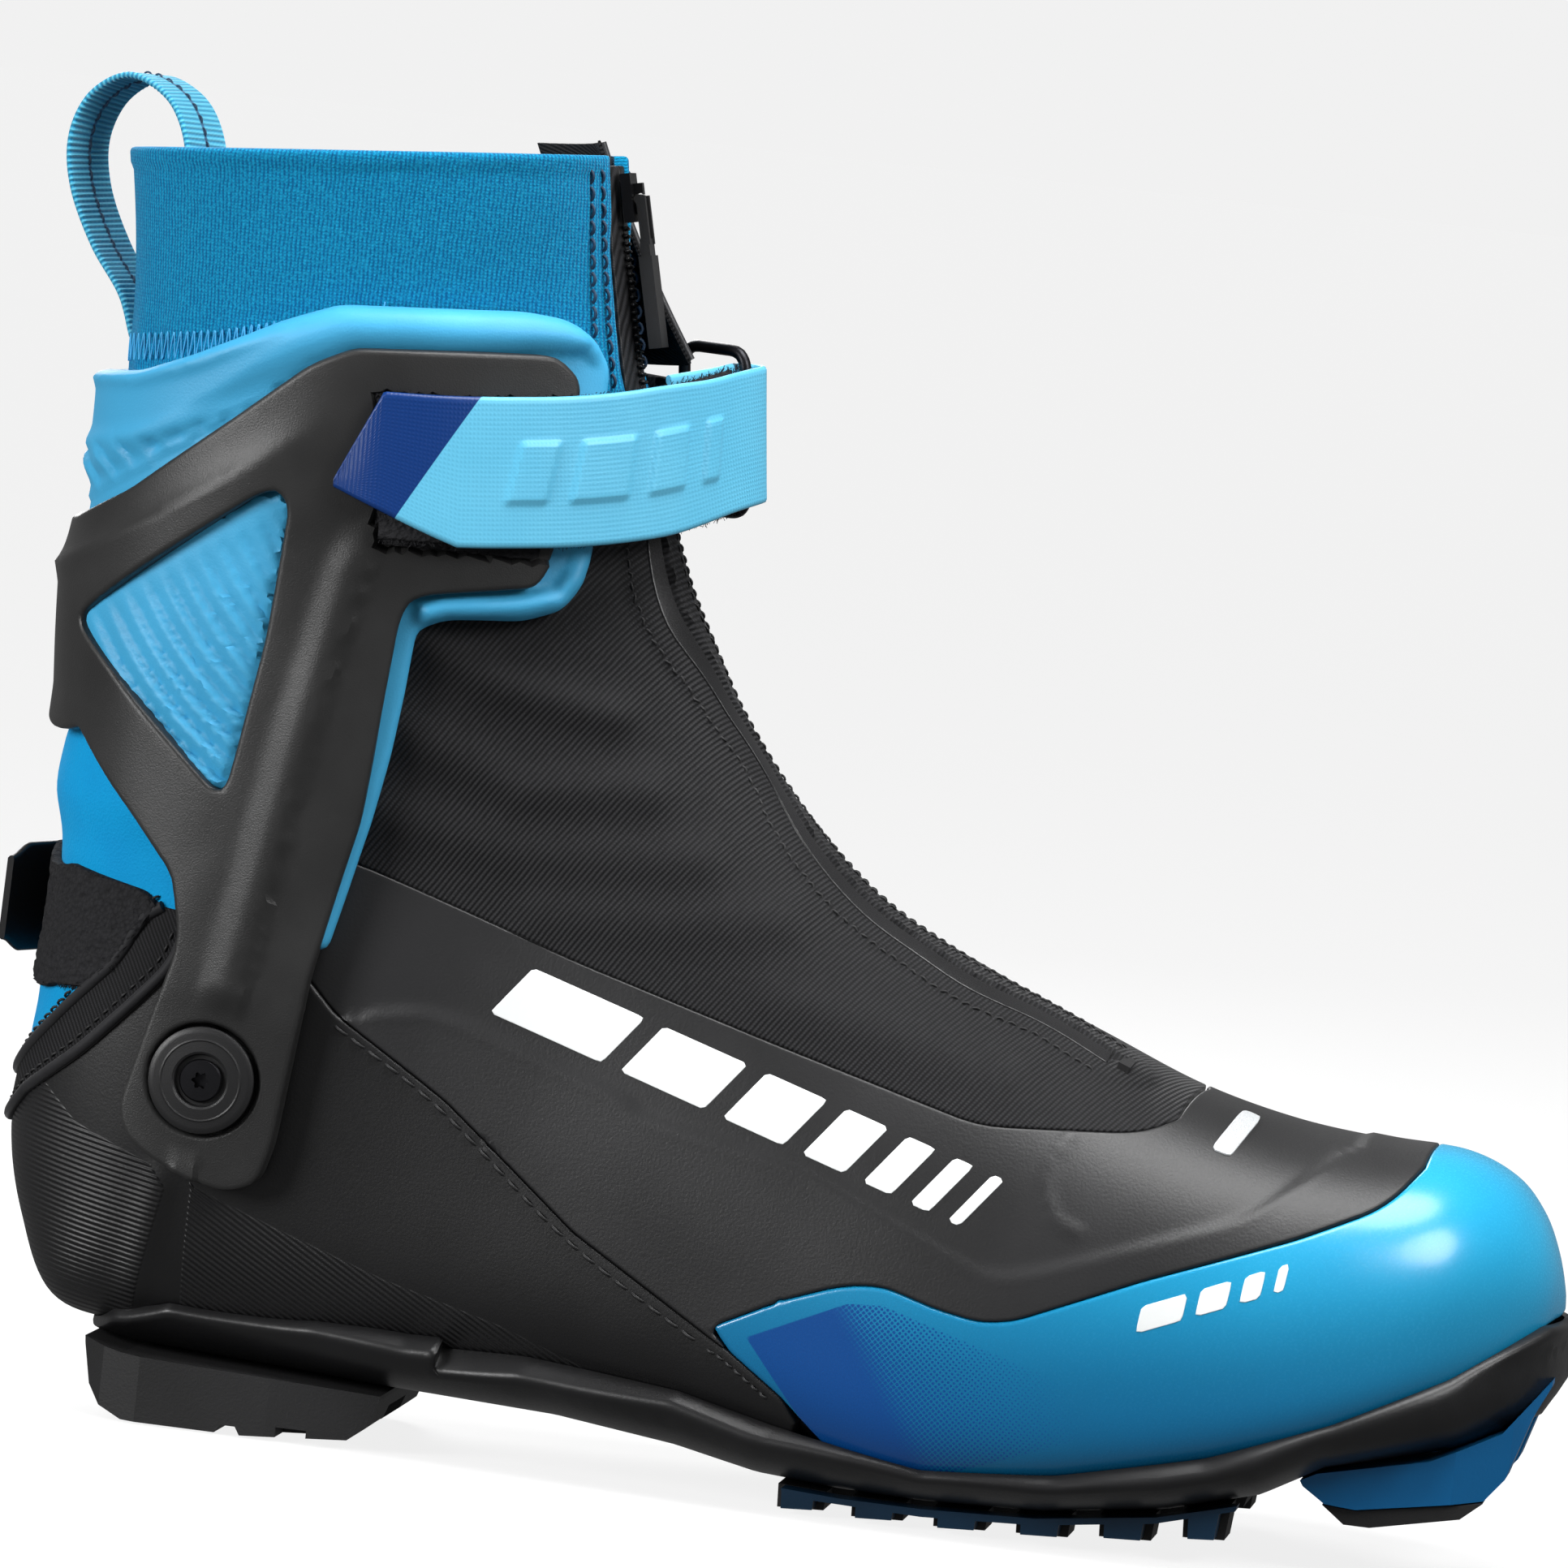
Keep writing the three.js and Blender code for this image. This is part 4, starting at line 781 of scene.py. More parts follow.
def woven(name, colour, light, pitch, slant, depth=0.12, rough=0.75, cross=0.35, **settings):
    """Cloth with ribs along a direction, given as shares of the two surface axes, crossed by finer threads."""
    look = Look(name)
    u, v, _ = look.axes(look.cloth, 10.0)
    wobble = look.times(look.noise(9, 2, look.cloth, 10.0), 0.5)
    ribs = look.plus(look.times(u, slant[0]), look.times(v, slant[1]))
    ribs = look.wave(look.plus(ribs, wobble), pitch)
    threads = look.plus(look.times(u, -slant[1]), look.times(v, slant[0]))
    threads = look.wave(threads, pitch * 0.62)
    height = look.plus(ribs, look.times(look.times(threads, ribs), cross))
    shade = look.times(height, look.scaled(look.noise(2.2, 3), 0.55, 1.1))
    look.relief(height, depth)
    look.relief(look.noise(0.25, 2), 0.03)
    return look.done(look.mixed(shade, colour, light), rough, **settings)


def fuzzy(name, colour, light, rough=0.95, size=0.9, depth=0.35, **settings):
    """Pile, felt or brushed cloth: clumped loops with fibres between them."""
    look = Look(name)
    clump = look.cells(size)
    fibre = look.noise(0.3, 4)
    look.relief(clump, depth)
    look.relief(fibre, depth * 0.4)
    base = look.mixed(look.times(clump, fibre), light, colour)
    return look.done(base, rough, **settings)


def metal(name, colour, rough):
    look = Look(name)
    brushed = look.node("TexNoise", vector=look.node("Mapping", look.place, scale=(1.0, 0.06, 1.0)), scale=4000.0)
    look.relief(look.noise(0.4, 3), 0.01)
    return look.done(look.mixed(look.noise(6, 4), colour, tuple(c * 0.75 for c in colour)),
                     look.scaled(brushed, rough - 0.08, rough + 0.12), metallic=1.0)


def knitted():
    look = Look("knit_collar")
    u, v, _ = look.axes(look.cloth, 10.0)
    wander = look.times(look.noise(4, 3, look.cloth, 10.0), 0.9)
    ribs = look.wave(look.plus(v, wander), 0.9)
    rows = look.wave(look.plus(u, look.times(ribs, 0.3)), 0.62)
    loop = look.times(ribs, look.math("MULTIPLY_ADD", rows, 0.5, 0.5))
    fleck = look.step(look.noise(0.55, 4), 0.42, 0.66)
    base = look.mixed(loop, (0, 84, 132), (0, 142, 188))
    base = look.mixed(look.times(fleck, 0.4), base, (24, 160, 200))
    look.relief(loop, 0.16)
    look.relief(look.noise(0.3, 3), 0.12)
    return look.done(base, 0.85, sheen_weight=0.1, sheen_roughness=0.4)


def counter_film():
    """Grained film with two zones of fine raised lines; the attributes are distances into each zone."""
    look = Look("counter_film")
    x, _, z = look.axes(look.place, 1000.0)
    rear = look.step(look.node("Attribute", attribute_name="rear_zone", out=2), 0.0, 0.5)
    front = look.step(look.node("Attribute", attribute_name="front_zone", out=2), 0.0, 0.5)
    rear_lines = look.wave(look.plus(z, look.times(x, 0.16)), 1.05)
    front_lines = look.wave(look.plus(look.times(z, 0.86), look.times(x, 0.5)), 1.0)
    lines = look.plus(look.times(rear_lines, rear), look.times(front_lines, front))
    grain = look.noise(0.5, 4)
    look.relief(lines, 0.22)
    look.relief(grain, 0.045)
    base = look.mixed(look.step(look.noise(30, 3), 0.3, 0.7), (14, 14, 15), (21, 21, 22))
    base = look.mixed(look.times(lines, 0.25), base, (36, 36, 38))
    return look.done(base, look.scaled(grain, 0.36, 0.5))


def toe_film():
    """Glossy film with painted light: its colour runs from darker low on the toe to paler over its top, as if lit from
    above, with a dark patch that breaks up into fine dots to the front.
    """
    look = Look("toe_film")
    x, _, z = look.axes(look.place, 1000.0)
    # painted highlight and shade: darker low on the toe, paler at its top, by height alone
    high = look.step(z, 22.0, 76.0)
    base = look.mixed(high, (0, 98, 144), (36, 168, 212))
    base = look.mixed(look.times(look.noise(18, 3), 0.3), base, (0, 116, 170))
    across = look.plus(x, z)
    along = look.math("SUBTRACT", x, z)
    dots = look.times(look.wave(across, 1.15), look.wave(along, 1.15))
    fade = look.node("Attribute", attribute_name="patch_fade", out=2)
    zone = look.step(look.node("Attribute", attribute_name="patch_zone", out=2), 0.0, 0.25)
    dotted = look.step(look.math("SUBTRACT", dots, fade), -0.08, 0.08)
    base = look.mixed(look.times(dotted, zone), base, (0, 70, 140))
    fine = look.noise(0.5, 3)
    look.relief(fine, 0.012)
    return look.done(base, look.scaled(fine, 0.24, 0.3), coat_weight=0.3, coat_roughness=0.16)


def carbon_plate():
    look = Look("carbon_plate")
    x, y, _ = look.axes(look.place, 1000.0)
    check = look.math("GREATER_THAN", look.times(look.math("SINE", look.times(x, 1.57)),
                                                look.math("SINE", look.times(y, 1.57))), 0.0)
    look.relief(check, 0.05)
    return look.done(look.mixed(check, (22, 22, 24), (52, 52, 56)), 0.35, coat_weight=0.5, coat_roughness=0.1)


def softshell_cloth():
    look = Look("softshell_cloth")
    fine = look.noise(0.35, 4)
    look.relief(look.cells(0.55), 0.08)
    look.relief(fine, 0.08)
    base = look.mixed(look.noise(12, 3), (0, 140, 200), (0, 160, 216))
    base = look.mixed(look.times(fine, 0.35), base, (0, 112, 176))
    return look.done(base, 0.78, sheen_weight=0.08, sheen_roughness=0.4)


def webbing_cloth():
    look = Look("webbing_cloth")
    u, v, _ = look.axes(look.cloth, 10.0)
    ribs = look.wave(u, 1.15)
    threads = look.wave(v, 0.7)
    height = look.plus(ribs, look.times(threads, 0.35))
    look.relief(height, 0.3)
    look.relief(look.noise(0.3, 3), 0.06)
    base = look.mixed(height, (20, 124, 168), (92, 186, 214))
    centre = look.step(look.math("ABSOLUTE", v), 1.1, 0.7)
    return look.done(look.mixed(centre, base, (46, 96, 132)), 0.7, sheen_weight=0.25, sheen_roughness=0.4)


def strap_film():
    """Satin coated strap with a fine woven backing showing through."""
    look = Look("strap_film")
    u, v, _ = look.axes(look.cloth, 10.0)
    weave = look.times(look.wave(u, 0.8), look.wave(v, 0.8))
    look.relief(weave, 0.035)
    look.relief(look.noise(0.5, 3), 0.02)
    base = look.mixed(look.noise(20, 3), (84, 174, 210), (104, 190, 222))
    base = look.mixed(look.times(weave, 0.2), base, (66, 156, 196))
    tip = look.step(look.node("Attribute", attribute_name="tip_side", out=2), -0.08, 0.08)
    base = look.mixed(tip, base, (0, 48, 112))
    return look.done(base, look.scaled(weave, 0.36, 0.46))


MAT = {
    "frame": moulded("frame_plastic", (31, 31, 31), 0.4, 0.3, 0.06, 0.3),
    "disc": moulded("pivot_plastic", (24, 24, 25), 0.4, 0.3, 0.03),
    "foam": moulded("pad_foam", (58, 154, 198), 0.5, 0.45, 0.06, 0.06),
    "film": moulded("vamp_film", (27, 27, 28), 0.4, 0.55, 0.05, 0.15),
    "rubber": moulded("sole_rubber", (20, 20, 21), 0.36, 0.6, 0.03, 0.2),
    "tread": moulded("tread_rubber", (20, 20, 21), 0.6, 0.5, 0.06, 0.2),
    "blue_rubber": moulded("blue_rubber", (0, 84, 134), 0.34, 0.6, 0.03, 0.2),
    "insert": moulded("insert_rubber", (0, 34, 56), 0.4, 0.6, 0.03, 0.2),
    "thread": moulded("thread_black", (22, 22, 23), 0.55, 0.25, 0.05, 0.2),
    "pale_thread": moulded("thread_blue", (70, 168, 216), 0.6, 0.25, 0.05, 0.1),
    "navy_thread": moulded("thread_navy", (16, 40, 62), 0.6, 0.25, 0.05, 0.2),
    "print": moulded("white_print", (225, 228, 228), 0.5, 0.4, 0.01, 0.02),
    "board": moulded("board_fibre", (128, 118, 102), 0.9, 0.6, 0.1, 0.1),
    "coil": moulded("zip_coil", (26, 26, 27), 0.25, 0.4, 0.02, 0.2),
    "twill": woven("vamp_twill", (9, 9, 10), (40, 40, 42), 0.95, (-0.85, 0.53), 0.12, 0.62,
                   sheen_weight=0.15, sheen_roughness=0.4),
    "tape": woven("zip_tape", (15, 15, 16), (44, 44, 46), 0.8, (1.0, 0.0), 0.1, 0.45),
    "gusset": woven("gusset_cloth", (12, 12, 13), (38, 38, 40), 0.7, (0.9, 0.45), 0.1, 0.7),
    "pile": fuzzy("loop_pile", (8, 8, 9), (44, 44, 46)),
    "felt": fuzzy("liner_felt", (40, 42, 46), (86, 90, 96), 0.95, 1.4, 0.2),
    "insole": fuzzy("insole_felt", (44, 48, 52), (96, 104, 110), 0.95, 0.9, 0.25),
    "reflective": fuzzy("reflective_beads", (120, 122, 124), (205, 208, 210), 0.3, 0.25, 0.05),
    "steel": metal("bar_steel", (170, 172, 176), 0.28),
    "dark_metal": metal("dark_metal", (52, 52, 55), 0.35),
    "knit": knitted(),
    "counter": counter_film(),
    "toe": toe_film(),
    "carbon": carbon_plate(),
    "softshell": softshell_cloth(),
    "webbing": webbing_cloth(),
    "strap": strap_film(),
}

# ---------------------------------------------------------------- outline helpers
def from_side_at(points, offset):
    """(section, angle) of surface points that are seen at x and z once they stand off by an offset."""
    target = np.asarray(points, float)
    guess = target.copy()
    for _ in range(5):
        s, phi = from_side(guess).T
        guess = guess + 0.8 * (target - on_last(s, phi, np.full(len(s), offset))[:, [0, 2]])
    return from_side(guess)


def half(points, offset=0.0, fillet=2.0, start=None, end=None):
    """A line over the side in (section, angle); start and end are points of the middle line."""
    line = stepped(filleted(points, fillet) if fillet else points, 1.5)
    made = from_side_at(line, offset)
    return np.vstack([part for part in (start, made, end) if part is not None])


def back_at(z):
    return np.array([[back_section(z), 0.0]])


def ridge_at(x):
    return np.array([[ridge_section(x), math.pi]])


def bends(piece, slot, *nodes):
    """A soft piece that crosses from the foot to the cuff."""
    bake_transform(piece)
    if nodes:
        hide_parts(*nodes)
    return piece


# ---------------------------------------------------------------- cuff frame
FRAME_LINE = [
    (0.9, 173.6), (13.9, 180.5), (34.9, 196.5), (50.1, 208.8), (58, 212.6), (95.4, 215.3), (100, 211), (99.6, 178),
    (96.5, 170.5), (76.7, 167.2), (73, 165.6), (71.6, 161), (70.2, 143), (68.4, 122), (61.6, 91.6), (57.5, 57.6),
    (55.2, 50), (49.2, 47.8), (42.2, 49.3), (34, 52.6), (28, 56.5), (26.2, 62), (30.5, 78.8), (34.5, 93), (34.5, 98),
    (32, 108), (22.1, 118.5), (6.7, 133.1),
]
WINDOW = [
    (48.4, 181), (46, 184.3), (42, 182.6), (6, 155.6), (5.5, 153.5), (7, 151.5), (38.1, 125.9), (40, 125),
    (41.4, 126.5), (42.6, 133), (46.2, 155), (47.4, 169),
]
RIDGE = [(-14, 156), (-4, 160), (7.5, 163.5), (26, 176.5), (44, 191.5), (54, 200)]
CREASE = [(62, 178), (60, 170.6), (50.4, 116), (44, 81), (41, 66)]
LEDGE = [(66, 180), (64.5, 172), (54.3, 116), (48.8, 81), (46.5, 68)]
PATCH_LINE = [(61.5, 205.5), (64.6, 175.3), (96, 175.3), (97.5, 206.5)]


def circle(centre, radius, count=48):
    turn = round_turn(count)
    return np.stack([centre[0] + radius * np.cos(turn), centre[1] + radius * np.sin(turn)], -1)


def frame_height(p, phi):
    """How far the cuff frame's outer face stands off the upper, over its creases and ledges."""
    ridge, _ = near_line(p, RIDGE)
    body = np.where(ridge > 0, 7.2 + 2.2 * np.exp(-np.maximum(ridge, 0) / 3.5), 9.4 - 0.05 * np.minimum(-ridge, 24))
    drop = np.maximum(-ridge, 0)
    tucked = 9.4 - 0.37 * np.minimum(drop, 3.5) - 0.13 * np.maximum(drop - 3.5, 0)
    body = np.where(ridge > 0, body, body + (np.maximum(tucked, FRAME_IN + 0.9) - body) * ramp(p[:, 0], 26, 4))
    flat = ramp(p[:, 0], 40, 58) * ramp(p[:, 1], 176, 190)
    body = body * (1 - flat) + FRAME_OUT * flat
    crease, _ = near_line(p, CREASE)
    ledge, _ = near_line(p, LEDGE)
    arm = 8.9 - 0.3 * np.clip(-crease, 0, 4.5) - 0.04 * np.clip(crease, 0, 15) + 0.9 * ramp(ledge, 0.4, -0.4)
    arm = arm - 0.9 * ramp(p[:, 1], 150, 90)
    on_arm = ramp(p[:, 0] - 0.19 * (p[:, 1] - 150), 40, 48) * (1 - ramp(p[:, 1], 172, 184))
    low = ramp(p[:, 1], 132, 112)
    on_arm = np.maximum(on_arm, low)
    high = body * (1 - on_arm) + arm * on_arm
    from_pivot = np.hypot(p[:, 0] - PIVOT[0], p[:, 1] - PIVOT[1])
    high = high + (7.4 - high) * ramp(from_pivot, 19, 12.5)
    recessed = inside(p, np.asarray(PATCH_LINE)) & (phi > 0)
    return np.where(recessed, RECESS, high)


def frame_floor(p):
    lower, _ = near_line(p, [(70, 151), (50, 149), (44, 122), (38, 121.5), (12, 137), (-20, 142)])
    return np.where(p[:, 1] > 158, FRAME_IN, ARM_IN + (FRAME_IN - ARM_IN) * ramp(lower, 1.5, -1.0))


def both_holes(points, offset, fillet):
    hole = from_side_at(stepped(closed_fillet(points, fillet), 1.0), offset)
    return [hole, mirrored(hole)]


frame_patch = Patch(
    both_sides(half(FRAME_LINE, FRAME_OUT, 2.5, back_at(173), back_at(135))),
    [*both_holes(WINDOW, FRAME_OUT, 2.5), *both_holes(circle(PIVOT, 10.9), 7, 1)], cell=1.25, rim=1.0,
)
frame_side = frame_patch.side_view()
cuff_frame = frame_patch.shell(
    "frame_shell", MAT["frame"], frame_height(frame_side, frame_patch.phi), frame_floor(frame_side) + 0.05, 1.0, 32,
)
settle(cuff_frame, "cuff", "frame_plastic", "cuff_frame")


def pivot_hardware(side, name):
    """One side's bush with its pressed ring, and its screw, whose socket has six lobes."""
    face = PIVOT_FACE
    dome = [(r, face + 4.9 - 0.5 * (r / 10.4) ** 2) for r in np.linspace(9.7, 5.6, 8)]
    bush = turned(f"pivot_cap_{name}", [
        (2.9, face - 2.4), (6.1, face - 2.4), (6.1, face + 3.1), (9.9, face + 3.1), (10.4, face + 3.6),
        (10.3, face + 4.1), *dome, (5.2, face + 4.5), (4.9, face + 3.4), (2.9, face + 3.4),
    ], side, MAT["disc"])
    settle(bush, "root", "frame_plastic", f"pivot_bush_{name}")
    ring = turned(f"pivot_groove_{name}", [
        (7.5, face + 4.62), (7.8, face + 4.78), (8.1, face + 4.62), (7.8, face + 4.2),
    ], side, MAT["disc"])
    settle(ring, "root", "frame_plastic")
    lobes = [(1.45 + 0.28 * math.cos(6 * turn), turn) for turn in round_turn(48)]
    rings = [(2.4, face - 9.4), (2.4, face + 3.5), (4.1, face + 3.6), (4.2, face + 4.1), (3.9, face + 4.45),
             (2.2, face + 4.5)]
    points = []
    for radius, out in rings:
        points.extend((radius * math.cos(t), out, radius * math.sin(t)) for _, t in lobes)
    for out in (face + 4.5, face + 2.9):
        points.extend((r * math.cos(t), out, r * math.sin(t)) for r, t in lobes)
    count = len(lobes)
    faces = between(len(rings) + 2, count)
    faces.append(tuple(range(count))[::-1])
    faces.append(tuple((len(rings) + 1) * count + j for j in range(count)))
    shaped = [(PIVOT[0] + x, -side * y, PIVOT[1] + z) for x, y, z in points]
    faces = [f if side < 0 else f[::-1] for f in faces]
    screw = new_mesh(f"torx_screw_{name}", placed(shaped), faces, MAT["dark_metal"], 35)
    settle(screw, "root", "dark_metal", f"pivot_screw_{name}")


for side, name in SIDES:
    pivot_hardware(side, name)

# ---------------------------------------------------------------- cuff pad
PAD_LINE = [
    (3.2, 201.9), (14.9, 203.5), (26.1, 208), (43.5, 216.6), (53.6, 220.3), (89.6, 222.8), (96, 222.3), (101, 219),
    (104, 214), (105.2, 178), (104, 171.5), (101, 166.5), (94, 163.8), (79.7, 162.5), (74.5, 160), (73.6, 148),
    (72, 135), (69.8, 122), (66.5, 108), (63.6, 96.5), (61, 96.5), (57, 110), (50, 124), (38, 120.5), (12, 136),
]
RIB_WAY, RIB_ACROSS = np.array([0.81, 0.587]), np.array([0.587, -0.81])


def sawtooth(turns):
    """Ribs that rise slowly and fall fast, from 0 to 1."""
    phase = turns % 1.0
    return np.where(phase < 0.82, (phase / 0.82) ** 0.7, (1 - phase) / 0.18)


def pad_height(patch):
    p = patch.side_view()
    frame_edge, _ = near_line(p, np.vstack([FRAME_LINE, FRAME_LINE[:1]]))
    frame_edge = np.abs(frame_edge)
    under = inside(p, np.asarray([(-40, 173), *FRAME_LINE, (-40, 134)])) & ~inside(p, np.asarray(WINDOW))
    out = np.where(under, 0.0, frame_edge)
    edge = patch.edge
    bead = 4.5 + 2.5 * np.sin(math.pi * np.clip(out / np.maximum(out + edge, 1e-6), 0, 1)) ** 0.8
    narrow = ramp(out + edge, 3.0, 5.5)
    high = np.where(under, PAD_OUT, PAD_OUT + (bead - PAD_OUT) * narrow)
    rear = ~under & ~inside(p, np.asarray(WINDOW)) & (p[:, 0] < 56)
    wide = ramp(out + edge, 9, 14)
    dot_line, _ = near_line(p, [(-10, 186), (7, 188), (22, 192.4), (38, 199.8), (50, 207)])
    belly = 5.0 + 2.3 * ramp(out, 0, 6) - 0.9 * ramp(dot_line, -1, 3)
    way = (p - np.array([20.0, 190.0])) @ np.array([0.80, 0.60])
    ribs = -1.3 * (1 - sawtooth((way + 0.012 * dot_line ** 2) / 4.3)) * ramp(dot_line, -0.5, -3) * ramp(out, 0.3, 2.5)
    top_lip = 0.9 * np.exp(-((edge - 1.8) / 1.4) ** 2) * ramp(p[:, 1], 196, 202)
    high = np.where(rear, high + (belly + ribs + top_lip - high) * wide, high)
    opened = inside(p, np.asarray(WINDOW))
    q = p - np.array([6.0, 155.6])
    b = q @ RIB_ACROSS
    w = q @ RIB_WAY - 0.0065 * (b - 14) ** 2
    tooth = sawtooth((w - 1.5) / 4.1)
    deep = np.clip(0.8 + 1.1 * b / 35, 0.4, 1.8)
    inner = 6.3 - deep * (1 - tooth) * ramp(b, 2, 8)
    high = np.where(opened, PAD_OUT + (inner - PAD_OUT) * ramp(frame_edge, 0.2, 2.2), high)
    for px, pz in ((44.5, 203.5), (39.6, 198.4), (35, 196.2), (30.4, 194.4), (26.6, 192.2), (21.9, 189.7)):
        high = high - 0.7 * np.exp(-((p[:, 0] - px) ** 2 + (p[:, 1] - pz) ** 2) / 0.9)
    return high


pad_patch = Patch(both_sides(half(PAD_LINE, PAD_OUT, 2.0, back_at(202), back_at(140.5))), cell=0.95, rim=1.1)
cuff_pad = pad_patch.shell("pad_cushion", MAT["foam"], pad_height(pad_patch), PAD_IN, 1.8, 60)
settle(cuff_pad, "cuff", "foam", "cuff_pad")

# ---------------------------------------------------------------- heel counter
COUNTER_TOP = [(4, 61), (25, 80.7), (36, 97.5), (50, 101), (66, 84.5)]
SEAM = [(66, 84.5), (89.5, 70.3), (117.5, 48.7), (151, 30), (161.7, 22.8)]
counter_half = np.vstack([
    [[10.6, 0.0]], half([(165, 18), *SEAM[::-1]], 0.6, 0),
    half(COUNTER_TOP[::-1], 0.6, 4)[1:], back_at(52),
])
counter_patch = Patch(both_sides(counter_half), cell=1.5)
counter_side = counter_patch.side_view()
rear_zone, _ = near_line(counter_side, [(-12, 67), (9, 63.5), (16.6, 57), (33, 51), (36.4, 47), (27.7, 10)])
front_zone, _ = near_line(counter_side, [(39.5, 10), (41, 48), (61, 41), (80.7, 34.7), (105, 28.8), (140, 17)])
bulge, _ = near_line(counter_side, [(36.4, 60), (36, 47), (29, 10)])
counter_top = 0.55 + 0.7 * np.exp(-((bulge + 1.5) / 3.2) ** 2) * ramp(counter_side[:, 1], 54, 46)


def marked(piece, patch, **values):
    """Stores values of a patch's points on both faces of its shell."""
    used = np.unique(patch.faces)
    for name, value in values.items():
        layer = piece.data.attributes.new(name, "FLOAT", "POINT")
        both = np.concatenate([value[used], value[used]])
        layer.data.foreach_set("value", both.astype(np.float32))


heel_counter = counter_patch.shell("counter_shell", MAT["counter"], counter_top, SKIN_IN, 0.9, 50)
marked(heel_counter, counter_patch, rear_zone=-rear_zone, front_zone=-front_zone)
settle(heel_counter, "root", "counter", "heel_counter")

# ---------------------------------------------------------------- toe cap
TOE_EDGE = [(277, 79), (273, 73.8), (269, 70.7), (256, 64.6), (228.6, 54), (205, 43.6), (198.6, 42.6), (190, 44),
            (180, 46.7), (175, 46.5), (170, 45.4), (160, 41.5), (147, 34.7)]
TOE_LOW = [(151, 30), (161.7, 22.8), (172, 13.5), (190, 9), (216, 10.8), (244, 17.5), (267, 26), (288, 36.5), (299, 45),
           (303, 50.5)]
toe_half = np.vstack([
    ridge_at(277.5), half(TOE_EDGE, 0.4, 2.5),
    half(TOE_LOW, 0.4, 0), [[0.12, 1.45], [0.08, 2.2], [0.08, math.pi]],
])
toe_patch = Patch(both_sides(toe_half, "front"), cell=1.4)
HALFTONE = np.array([(153.7, 33.5), (173, 42.8), (180, 43.3), (234, 28.3), (183.5, 8), (168, 17)])
toe_side = toe_patch.side_view()
loop = np.vstack([HALFTONE, HALFTONE[:1]])
zone_distance, _ = near_line(toe_side, loop)
patch_zone = np.where(inside(toe_side, HALFTONE), np.abs(zone_distance), -np.abs(zone_distance))
patch_fade = np.clip((toe_side[:, 0] - 183) / 40 + (toe_side[:, 1] - 25) / 60, -0.5, 1.1)
toe_cap = toe_patch.shell("toe_cap_film", MAT["toe"], 0.5, SKIN_IN, 0.8, 50)
marked(toe_cap, toe_patch, patch_zone=patch_zone, patch_fade=patch_fade)
settle(toe_cap, "root", "toe_film", "toe_cap")

# ---------------------------------------------------------------- vamp overlay
TWILL_EDGE = [(45, 119), (69, 113.3), (111, 100), (154, 88.6), (193, 78.7), (223, 80.4), (229.5, 83.2)]
EMBOSS = [(74, 85), (82, 86.6), (88.6, 85.8), (124, 75), (127, 72), (159.5, 66.7), (194, 52.8), (199, 51),
          (205.5, 51.8), (243, 65.4), (247, 67.4), (261, 79)]
EMBOSS_LINE = filleted(EMBOSS, 5)
CROOK = [(210.4, 78.5), (207.5, 72.6), (207.4, 67.7), (210.4, 62.6), (214.5, 61.5)]
overlay_half = np.vstack([
    ridge_at(232.5), half(TWILL_EDGE[::-1], 0, 5),
    half([(45, 118.5), (45, 99.5)], 0, 0)[1:],
    half([(50, 101), *SEAM[:-1], (147, 33.5)], 0, 2)[1:],
    half(TOE_EDGE[::-1], 0, 2.5)[1:], ridge_at(277.5),
])
overlay_patch = Patch(both_sides(overlay_half, "front"), cell=1.3)


def overlay_rise(p):
    """The film's height, raised below its embossed line."""
    distance, _ = near_line(p, EMBOSS_LINE)
    return 0.05 + 0.55 * ramp(distance, 0.9, -0.9) + 0.35 * np.exp(-((distance - 0.4) / 1.0) ** 2)


crook = nearest(overlay_patch.points, on_last(*half(CROOK, 0, 3).T, 0.0))
overlay_top = overlay_rise(overlay_patch.side_view()) + 0.45 * np.exp(-(crook / 1.3) ** 2)
overlay = overlay_patch.shell("overlay_film", MAT["film"], overlay_top, SKIN_IN, 0.5, 50)
settle(overlay, "root", "vamp_film", "vamp_overlay")

# ---------------------------------------------------------------- vamp twill
ZIP_SLIT = [(115, 181, -7.5), (121.6, 165, -8.6), (130.6, 152, -5), (139.8, 140, -4), (151, 127, -8.5),
            (162, 117, -11), (174, 110, -11.7), (186, 104, -13), (201, 98.6, -11.6), (215, 92.4, -14)]
twill_half = np.vstack([
    half([(45.3, 199), (45.3, 119.5)], 0, 0),
    half([(45.3, 119.5), *TWILL_EDGE[1:]], 0, 5)[1:], ridge_at(232),
])
twill_top = half([(45.3, 199.2), (108, 199.2)], 0, 0)
twill_lateral = np.vstack([[[front_section(200.5), math.pi]], twill_top[::-1], twill_half[1:]])
twill_patch = Patch(both_sides(twill_lateral, "front"), cell=1.3)


def ridge_params(line):
    """(section, angle) of points on the ridge given as x, z and y."""
    line = np.asarray(line, float)
    s = ridge_section(line[:, 0])
    wide, cy, high = ridge_shape(s)
    a = np.clip(np.abs(line[:, 2] - cy) / wide, 0, 0.98) ** (high / 2)
    return np.stack([s, np.where(line[:, 2] < cy, math.pi - np.arcsin(a), math.pi + np.arcsin(a))], -1)


